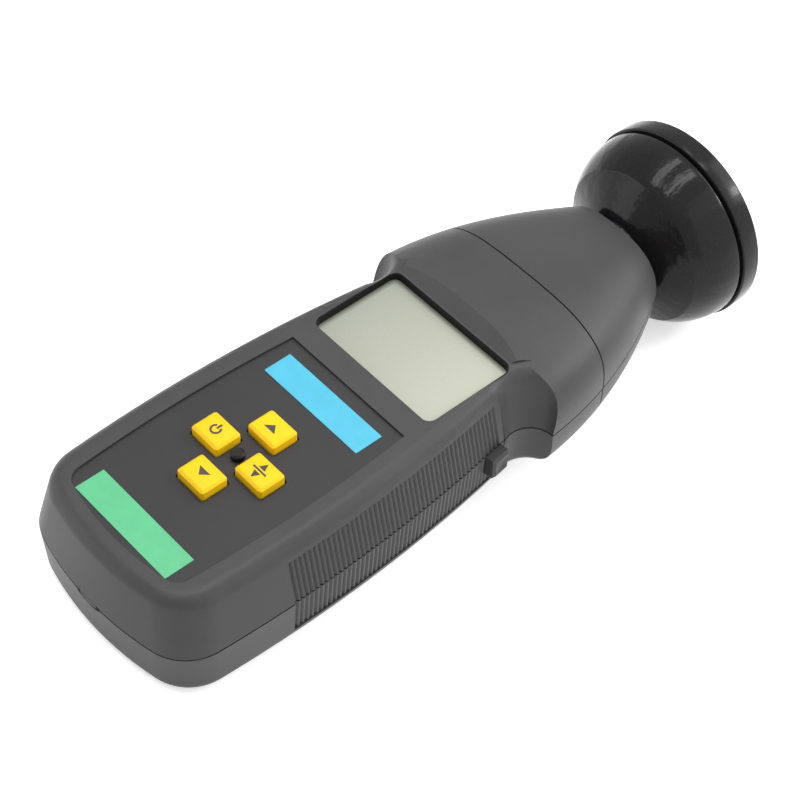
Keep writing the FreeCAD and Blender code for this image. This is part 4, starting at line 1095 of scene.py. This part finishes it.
@dataclass
class Keypad(Assembly):
    """Four keys with softened edges and a sign printed on each.

    The softness rounds a cap's foot and its top edge. The stroke is a bar's half length and
    rise, the beam is a bar's half sizes, and a small arrow is told by its share of the full
    width and by its rise.
    """

    corner: float = 1.0 * MM
    crown: float = 0.15 * MM
    flange: float = 0.9 * MM
    flange_thickness: float = 1.0 * MM
    shoulder: float = 0.9 * MM
    draft: float = 0.05 * MM
    softness: Pair = (0.4 * MM, 0.5 * MM)
    ink: float = 0.04 * MM
    line: float = 0.62 * MM
    radius: float = 1.75 * MM
    arc_points: int = 33
    gap: float = math.radians(38.0)
    stroke: Pair = (0.95 * MM, 1.3 * MM)
    arrow_half_width: float = 2.2 * MM
    arrow_length: float = 2.3 * MM
    tip: float = 0.97
    beam: Pair = (2.6 * MM, 0.28 * MM)
    small_arrow: Pair = (0.55, 1.9 * MM)

    def cap(self, key: str, name: str) -> None:
        """Stand a cap in for a key: a wide rounded shoulder and a slightly crowned top.

        Args:
            key: The key's node.
            name: Name of the cap.
        """
        low, high = node_reach(key)
        centre, half = (low[:2] + high[:2]) / 2.0, (high[:2] - low[:2]) / 2.0
        foot, top, reach = low[2], high[2], half.min()
        rest, edge = foot + self.flange_thickness, self.flange + self.shoulder
        corners = [(reach, foot, 0.0), (0.0, foot, 0.0), (0.0, rest, 0.0),
                   (self.flange, rest, 0.0),
                   (self.flange + self.draft, top - self.shoulder, self.softness[0]),
                   (edge, top - self.crown, self.softness[1]), (reach, top, 0.0)]
        loops = stacked_loops(half, self.corner + self.flange, rounded(corners), centre)
        self.shop.make(name, [loops], KEY_YELLOW, key, crease=40.0)

    def plate(self, name: str, grids: Sequence[np.ndarray], key: str) -> None:
        """Print flat grids on top of a key, each as a thin slab closed all round.

        Args:
            name: Name of the print.
            grids: Arrays (rows, columns, 2) of places from the key's centre, in metres.
            key: The key's node.
        """
        low, high = node_reach(key)
        centre = (low + high) / 2.0
        patches = []
        for grid in grids:
            loop = np.concatenate([grid, grid[:, ::-1]], axis=1) + centre[:2]
            level = np.full(loop.shape[:2], high[2] + self.ink)
            level[:, grid.shape[1]:] = high[2] - self.ink
            slab = np.concatenate([loop, level[..., None]], axis=-1)
            ends = slab[[0, -1]]
            ends[..., 2] = high[2]
            patches.append(Patch(np.concatenate([ends[:1], slab, ends[1:]])))
        self.shop.make(name, patches, LEGEND_INK, key, replaces=False, crease=None)

    def ring_sector(self, first: float, last: float) -> np.ndarray:
        """Part of a ring: radius times (cos a, sin a), from angle first to last.

        Args:
            first: First angle.
            last: Last angle.

        Returns:
            The grid, (arc_points, 2, 2).
        """
        angle = np.linspace(first, last, self.arc_points)[:, None]
        reach = np.array([self.radius - self.line, self.radius])[None, :]
        return np.stack([reach * np.cos(angle), reach * np.sin(angle)], axis=-1)

    def bar(self, half_x: float, half_y: float, rise: float = 0.0) -> np.ndarray:
        """Upright rectangle whose centre is raised along y."""
        x, y = np.meshgrid([-half_x, half_x], [-half_y, half_y], indexing="ij")
        return np.stack([x, y + rise], axis=-1)

    def arrow(self, way: float, share_x: float = 1.0, rise: float = 0.0) -> np.ndarray:
        """Triangle that points along y: its half-width falls in a line from base to tip.

        Args:
            way: 1 if it points towards the lamp, -1 if away from it.
            share_x: Its width as a share of the full one.
            rise: How far its middle lies towards its tip, in metres.

        Returns:
            The grid, (2, 2, 2).
        """
        share = np.array([0.0, self.tip])[:, None]
        half = self.arrow_half_width * share_x * (1.0 - share)
        along = way * (self.arrow_length * (share - 0.5) + rise)
        return np.stack([half * np.array([-1.0, 1.0]), np.repeat(along, 2, axis=1)], axis=-1)

    def build(self) -> None:
        """Shape the four caps and print a sign on each."""
        quarter = TURN / 4.0
        signs = {
            "power": [self.ring_sector(quarter + self.gap, quarter + TURN - self.gap),
                      self.bar(self.line / 2.0, *self.stroke)],
            "up": [self.arrow(1.0)],
            "down": [self.arrow(-1.0)],
            "fine": [self.bar(*self.beam), self.arrow(1.0, *self.small_arrow),
                     self.arrow(-1.0, *self.small_arrow)],
        }
        for key in signs:
            self.cap("key_" + key, "cap_" + key)
        for key, grids in signs.items():
            self.plate("sign_" + key, grids, "key_" + key)


@dataclass
class LampHead(Assembly):
    """Bell, rim ring, window, reflector and flash tube.

    A form's run is where it starts and ends along the object. The crease and the mouth are
    (radius, station) points of the bell, between which its side bulges.
    """

    segments: int = 128
    neck: float = 12.5 * MM
    neck_end: float = 185.0 * MM
    bore: float = 10.5 * MM
    flange: float = 14.5 * MM
    flange_run: Pair = (171.6 * MM, 173.4 * MM)
    crease: Pair = (25.8 * MM, 191.9 * MM)
    mouth: Pair = (31.2 * MM, 206.2 * MM)
    bulge: float = 22.0 * MM
    bulge_points: int = 21
    spigot: float = 28.2 * MM
    spigot_bore: float = 26.3 * MM
    wall: float = 2.0 * MM
    ring_radius: float = 32.0 * MM
    ring_bore: float = 28.4 * MM
    lip: float = 27.2 * MM
    lip_thickness: float = 0.9 * MM
    mirror_bore: float = 6.5 * MM
    mirror_start: float = 193.6 * MM
    mirror_wall: float = 0.8 * MM
    mirror_points: int = 40
    focus: float = 10.6 * MM
    tube: float = 2.0 * MM
    tube_points: int = 60
    tube_around: int = 24
    wire: float = 0.22 * MM
    wire_points: int = 420
    wire_turns: float = 7.0
    wire_run: Pair = (0.12, 0.88)

    def turn(self, name: str, profile: np.ndarray, finish: Finish, node: str) -> None:
        """Turn a profile about the lamp's axis.

        Args:
            name: Name of the piece.
            profile: Array of (radius, station) rows, in metres.
            finish: Its finish.
            node: The CAD node that it stands for.
        """
        patch = turned(profile, (0.0, 0.0, PARTING), Axis.ALONG, self.segments)
        self.shop.make(name, [patch], finish, node)

    def bell(self) -> None:
        """Turn the bell with its neck, its flange, its soft crease and its spigot."""
        low, high = node_reach("lamp_bowl")
        start, end = low[1], high[1]
        side = arc(self.crease, self.mouth, self.bulge, Side.RIGHT, self.bulge_points)
        corners = [(self.bore, start, 0.0), (self.neck, start, 0.3 * MM),
                   (self.neck, self.flange_run[0], 0.0), (self.flange, self.flange_run[0], 0.0),
                   (self.flange, self.flange_run[1], 0.0), (self.neck, self.flange_run[1], 0.0),
                   (self.neck, self.neck_end, 1.2 * MM), (*self.crease, 1.1 * MM),
                   *((*point, 0.0) for point in side[2:-1]),
                   (*self.mouth, 0.35 * MM), (self.spigot, self.mouth[1], 0.0),
                   (self.spigot, end, 0.2 * MM), (self.spigot_bore, end, 0.0),
                   (self.spigot_bore, self.mouth[1] - 1.0 * MM, 0.0),
                   (self.crease[0] - self.wall, self.crease[1] + self.wall, 1.0 * MM),
                   (self.bore, self.neck_end + self.wall, 0.0), (self.bore, start, 0.0)]
        self.turn("lamp_bell", rounded(corners), BELL_BLACK, "lamp_bowl")

    def ring(self) -> None:
        """Turn the rim ring with its rounded front edge and the step that holds the window."""
        low, high = node_reach("lamp_ring")
        start, end = low[1], high[1]
        step = end - self.lip_thickness
        corners = [(self.ring_bore, start, 0.0), (self.ring_radius, start, 0.5 * MM),
                   (self.ring_radius, end, 0.8 * MM), (self.lip + 0.8 * MM, end, 0.2 * MM),
                   (self.lip, end - 0.35 * MM, 0.1 * MM), (self.lip, step, 0.0),
                   (self.ring_bore, step, 0.0), (self.ring_bore, start, 0.0)]
        self.turn("lamp_rim", rounded(corners), RING_BLACK, "lamp_ring")

    def window(self) -> None:
        """Turn the window: a disc with softened edges."""
        low, high = node_reach("lamp_glass")
        corners = [(0.0, low[1], 0.0), (high[0], low[1], 0.3 * MM),
                   (high[0], high[1], 0.3 * MM), (0.0, high[1], 0.0)]
        self.turn("lamp_window", rounded(corners), WINDOW, "lamp_glass")

    def mirror(self) -> None:
        """Turn the reflector from its parabola: station is radius squared over four focuses."""
        rim = node_reach("reflector")[1][0]
        radius = np.linspace(self.mirror_bore, rim, self.mirror_points)
        station = self.mirror_start + radius ** 2 / (4.0 * self.focus)
        front = np.stack([radius, station], axis=1)
        rear = np.stack([radius, station - self.mirror_wall], axis=1)[::-1]
        self.turn("bright_reflector", np.concatenate([front, rear, front[:1]]), MIRROR,
                  "reflector")

    def arch(self, share: np.ndarray) -> np.ndarray:
        """Points of the flash tube's centre line: two straight legs and a half circle.

        The station rises along the first leg, then the points go round the arch's centre at
        half the legs' spacing, and the station falls along the second leg.

        Args:
            share: Shares of the line's length, from 0 to 1.

        Returns:
            Array of points, (count, 3).
        """
        low, high = node_reach("xenon_tube")
        spread = high[0] - self.tube
        leg, bend = high[1] - self.tube - spread - low[1], math.pi * spread
        run = share * (2.0 * leg + bend)
        turn = np.clip((run - leg) / bend, 0.0, 1.0) * math.pi
        rise = np.clip(run, 0.0, leg) - np.clip(run - leg - bend, 0.0, leg)
        return np.stack([-spread * np.cos(turn), low[1] + rise + spread * np.sin(turn),
                         np.full_like(run, PARTING)], axis=1)

    def flash_tube(self) -> None:
        """Bend the glass tube and wind the trigger wire round it.

        The wire turns round the tube's centre line at the tube's radius.
        """
        path = self.arch(np.linspace(0.0, 1.0, self.tube_points))
        glass = tube_along(path, self.tube, self.tube_around)
        self.shop.make("flash_tube", [glass], TUBE_GLASS, "xenon_tube")

        share = np.linspace(*self.wire_run, self.wire_points)
        centre = self.arch(share)
        up = np.array([0.0, 0.0, 1.0])
        side = np.cross(unit(np.gradient(centre, axis=0)), up)
        turn = (TURN * self.wire_turns * share)[:, None]
        coil = centre + (self.tube + self.wire) * (np.cos(turn) * side + np.sin(turn) * up)
        self.shop.make("trigger_wire", [tube_along(coil, self.wire)], COPPER, "xenon_tube",
                       replaces=False)

    def build(self) -> None:
        """Build the whole lamp head."""
        for make in (self.bell, self.ring, self.window, self.mirror, self.flash_tube):
            make()


@dataclass
class Screws(Assembly):
    """Cross-recessed screws deep in the holes of the back.

    A set is a CAD node, a piece's name and the places of its screws across and along the
    object, with a twin on the other side for each.
    """

    sets: Sequence[tuple[str, str, Sequence[Pair]]] = (
        ("shell_screws", "grip_screws", ((24.0 * MM, 1.5 * MM), (26.0 * MM, 131.0 * MM))),
        ("nose_screws", "nose_end_screws", ((21.5 * MM, 155.0 * MM),)),
    )
    around: int = 96
    face_rings: int = 24
    thread_rings: int = 120
    head_radius: float = 2.7 * MM
    head_height: float = 2.0 * MM
    face_radius: float = 2.4 * MM
    edge: float = 0.5 * MM
    dome: float = 0.25 * MM
    recess: float = 1.3 * MM
    arm: Pair = (0.55 * MM, 1.75 * MM)
    slope: Pair = (0.25 * MM, 0.35 * MM)
    shank: float = 1.45 * MM
    pitch: float = 1.1 * MM
    thread: float = 0.16 * MM
    point: float = 1.2 * MM

    def one(self, across: float, along: float, low: float, high: float) -> Patch:
        """Shape one screw.

        The head's outer face is a disc whose depth follows a cross: it is deepest where the
        smaller of |x| and |y| is under half an arm's width and the larger is within reach.
        The shank's radius rises and falls with the angle plus the turns run along it.

        Args:
            across: Place across the object.
            along: Place along the object.
            low: Level of the head's outer face.
            high: Level of the shank's end.

        Returns:
            The grid of head and shank.
        """
        angle = np.linspace(0.0, TURN, self.around, endpoint=False)[None, :]
        radius = np.linspace(0.0, self.face_radius, self.face_rings)[:, None]
        x, y = radius * np.cos(angle), radius * np.sin(angle)
        sizes = np.sort(np.abs(np.stack([x, y])), axis=0)
        inside, within = (np.clip((reach - size) / slope, 0.0, 1.0)
                          for reach, size, slope in zip(self.arm, sizes, self.slope))
        dome = self.dome * (radius / self.head_radius) ** 2
        face = np.stack([x, y, low + self.recess * inside * within + dome], axis=-1)
        side = np.array([(self.head_radius, low + self.edge),
                         (self.head_radius, low + self.head_height),
                         (self.shank, low + self.head_height)])
        head = turned(side, (0.0, 0.0, 0.0), Axis.UP, self.around).points
        run = np.linspace(low + self.head_height, high - self.point,
                          self.thread_rings)[:, None]
        wave = np.abs(((run / self.pitch - angle / TURN) % 1.0) - 0.5) * 2.0
        reach = self.shank - self.thread * wave
        shank = np.stack([reach * np.cos(angle), reach * np.sin(angle),
                          np.broadcast_to(run, reach.shape)], axis=-1)
        tip = np.broadcast_to([0.0, 0.0, high], (1, self.around, 3))
        return Patch(np.concatenate([face, head, shank, tip])
                     + np.array([across, along, 0.0]))

    def build(self) -> None:
        """Shape every screw of the grip and of the nose."""
        for node, name, places in self.sets:
            low, high = node_reach(node)
            screws = [self.one(side * across, along, low[2], high[2])
                      for across, along in places for side in (-1.0, 1.0)]
            self.shop.make(name, screws, STEEL, node)


@dataclass
class BatteryBay(Assembly):
    """Four cells that lie head to tail, with conical coil springs."""

    pitch: float = 14.8 * MM
    radius: float = 7.25 * MM
    length: float = 49.5 * MM
    edge: float = 0.6 * MM
    nub: float = 2.7 * MM
    nub_length: float = 1.0 * MM
    nub_edge: float = 0.25 * MM
    around: int = 48
    wire: float = 0.35 * MM
    wide: float = 4.1 * MM
    narrow: float = 2.5 * MM
    turns: float = 4.5
    coil_points: int = 160

    def build(self) -> None:
        """Shape the cells and wind their springs.

        A spring's line turns at an even rate while its radius falls in a line from the plate
        to the cell.
        """
        low, high = node_reach("battery_cells")
        level, whole = low[2] + self.radius, self.length + self.nub_length
        shape = rounded([(0.0, 0.0, 0.0), (self.radius, 0.0, self.edge),
                         (self.radius, self.length, self.edge), (self.nub, self.length, 0.0),
                         (self.nub, whole, self.nub_edge), (0.0, whole, 0.0)])
        share = np.linspace(0.0, 1.0, self.coil_points)
        angle, coil = TURN * self.turns * share, self.wide + (self.narrow - self.wide) * share
        cells, springs = [], []
        for index, way in enumerate((1.0, -1.0, 1.0, -1.0)):
            across = self.pitch * (index - 1.5)
            plate, nose = (low[1], high[1]) if way > 0.0 else (high[1], low[1])
            flat = nose - way * whole
            profile = np.stack([shape[:, 0], flat + way * shape[:, 1]], axis=1)
            cells.append(turned(profile, (across, 0.0, level), Axis.ALONG, self.around))
            run = plate + way * self.wire + (flat - plate - 2.0 * way * self.wire) * share
            line = np.stack([across + coil * np.cos(angle), run,
                             level + coil * np.sin(angle)], axis=1)
            springs.append(tube_along(line, self.wire))
        self.shop.make("sleeved_cells", cells, CAN, "battery_cells")
        self.shop.make("coil_springs", springs, PLATED, "battery_springs")


# The photograph's viewpoint, light and table


@dataclass(frozen=True)
class Viewpoint:
    """Camera of the photograph, found from the object's outline, in the object's own frame."""

    azimuth: float = math.radians(47.306)
    elevation: float = math.radians(49.364)
    roll: float = math.radians(1.978)
    distance: float = 0.6167
    target: Triple = (0.01329, 0.08547, 0.037)
    focal_pixels: float = 2243.3
    picture: float = 800.0
    sensor: float = 36.0

    def build(self) -> None:
        """Place the camera and make it the scene's."""
        across, climb = self.azimuth, self.elevation
        back = np.array([math.sin(across) * math.cos(climb),
                         -math.cos(across) * math.cos(climb), math.sin(climb)])
        right = unit(np.cross([0.0, 0.0, 1.0], back))
        up = np.cross(back, right)
        c, s = math.cos(self.roll), math.sin(self.roll)
        axes = np.stack([c * right + s * up, c * up - s * right, back])
        matrix = np.eye(4)
        matrix[:3, :3] = LIE.turn @ axes.T
        matrix[:3, 3] = LIE.to_table(np.array(self.target) + self.distance * back)
        camera = bpy.data.cameras.new("photograph")
        camera.sensor_width = self.sensor
        camera.lens = self.focal_pixels / self.picture * self.sensor
        item = bpy.data.objects.new("photograph", camera)
        item.matrix_world = Matrix(matrix.tolist())
        bpy.context.collection.objects.link(item)
        bpy.context.scene.camera = item


@dataclass(frozen=True)
class Lamp:
    """One soft rectangular lamp that looks at a point of the object.

    The second number of its size lies along the object.
    """

    name: str
    place: Triple
    size: Pair
    power: float
    aim: Triple = (0.0, 0.0, 0.02)

    def build(self) -> None:
        """Add the lamp."""
        light = bpy.data.lights.new(self.name, "AREA")
        light.shape = "RECTANGLE"
        light.size, light.size_y = self.size
        light.energy = self.power
        item = bpy.data.objects.new(self.name, light)
        back = Vector(self.place) - Vector(self.aim)
        across = Vector((0.0, 1.0, 0.0)).cross(back)
        axes = [axis.normalized() for axis in (across, back.cross(across), back)]
        turn = Matrix(axes).transposed().to_4x4()
        item.matrix_world = Matrix.Translation(self.place) @ turn
        bpy.context.collection.objects.link(item)


@dataclass
class Studio:
    """Plain pale table, white surroundings and soft lamps."""

    table_half: float = 3.0
    room_light: float = 0.40
    table_lift: float = 0.52
    lamps: Sequence[Lamp] = (
        Lamp("overhead", (0.1, 0.15, 1.20), (2.0, 2.0), 3.0),
        Lamp("left strip", (-0.28, -0.02, 0.95), (0.15, 1.0), 3.0),
        Lamp("middle strip", (0.05, -0.02, 0.95), (0.15, 1.0), 3.6),
        Lamp("right side", (0.95, 0.25, 0.50), (1.6, 1.6), 6.0),
        Lamp("front", (0.35, 1.0, 0.70), (0.9, 0.9), 7.0),
        Lamp("rear left", (-0.85, -0.9, 0.28), (0.9, 0.9), 4.5),
        Lamp("head highlight", (0.35, 0.55, 0.45), (0.10, 0.16), 0.9, (0.0, 0.1, 0.04)),
    )

    def table(self) -> None:
        """Lay the table: a white diffuse sheet, lifted to white where it is seen directly."""
        shader = Shader("table")
        diffuse = shader.node("ShaderNodeBsdfDiffuse", None,
                              {"Color": (0.90, 0.90, 0.90, 1.0)})
        glow = shader.node("ShaderNodeEmission", None,
                           {"Color": (1.0, 1.0, 1.0, 1.0),
                            "Strength": shader.seen_directly() * self.table_lift})
        shader.finish(shader.node("ShaderNodeAddShader", None, {0: diffuse, 1: glow}))
        half = self.table_half
        mesh = bpy.data.meshes.new("table")
        mesh.from_pydata([(-half, -half, 0.0), (half, -half, 0.0), (half, half, 0.0),
                          (-half, half, 0.0)], [], [(0, 1, 2, 3)])
        mesh.materials.append(shader.material)
        item = bpy.data.objects.new("table", mesh)
        bpy.context.collection.objects.link(item)

    def surroundings(self) -> None:
        """Light the world evenly and show it white."""
        world = bpy.data.worlds.new("white room")
        bpy.context.scene.world = world
        graph = Graph(world)
        strength = graph.seen_directly() * (1.0 - self.room_light) + self.room_light
        graph.finish(graph.node("ShaderNodeBackground", None,
                                {"Color": (1.0, 1.0, 1.0, 1.0), "Strength": strength}),
                     "ShaderNodeOutputWorld")

    def build(self) -> None:
        """Build the whole studio."""
        self.table()
        self.surroundings()
        for lamp in self.lamps:
            lamp.build()
        bpy.context.scene.view_settings.view_transform = "Standard"


def main() -> None:
    """Build every sub-assembly in order."""
    logging.basicConfig(level=logging.INFO, format="%(message)s")
    Viewpoint().build()
    shop = Workshop()
    shop.dress_nodes()
    for kind in (Housing, DisplayWindow, Keypad, LampHead, Screws, BatteryBay):
        kind(shop).build()
    Studio().build()


if __name__ == "__main__":
    main()
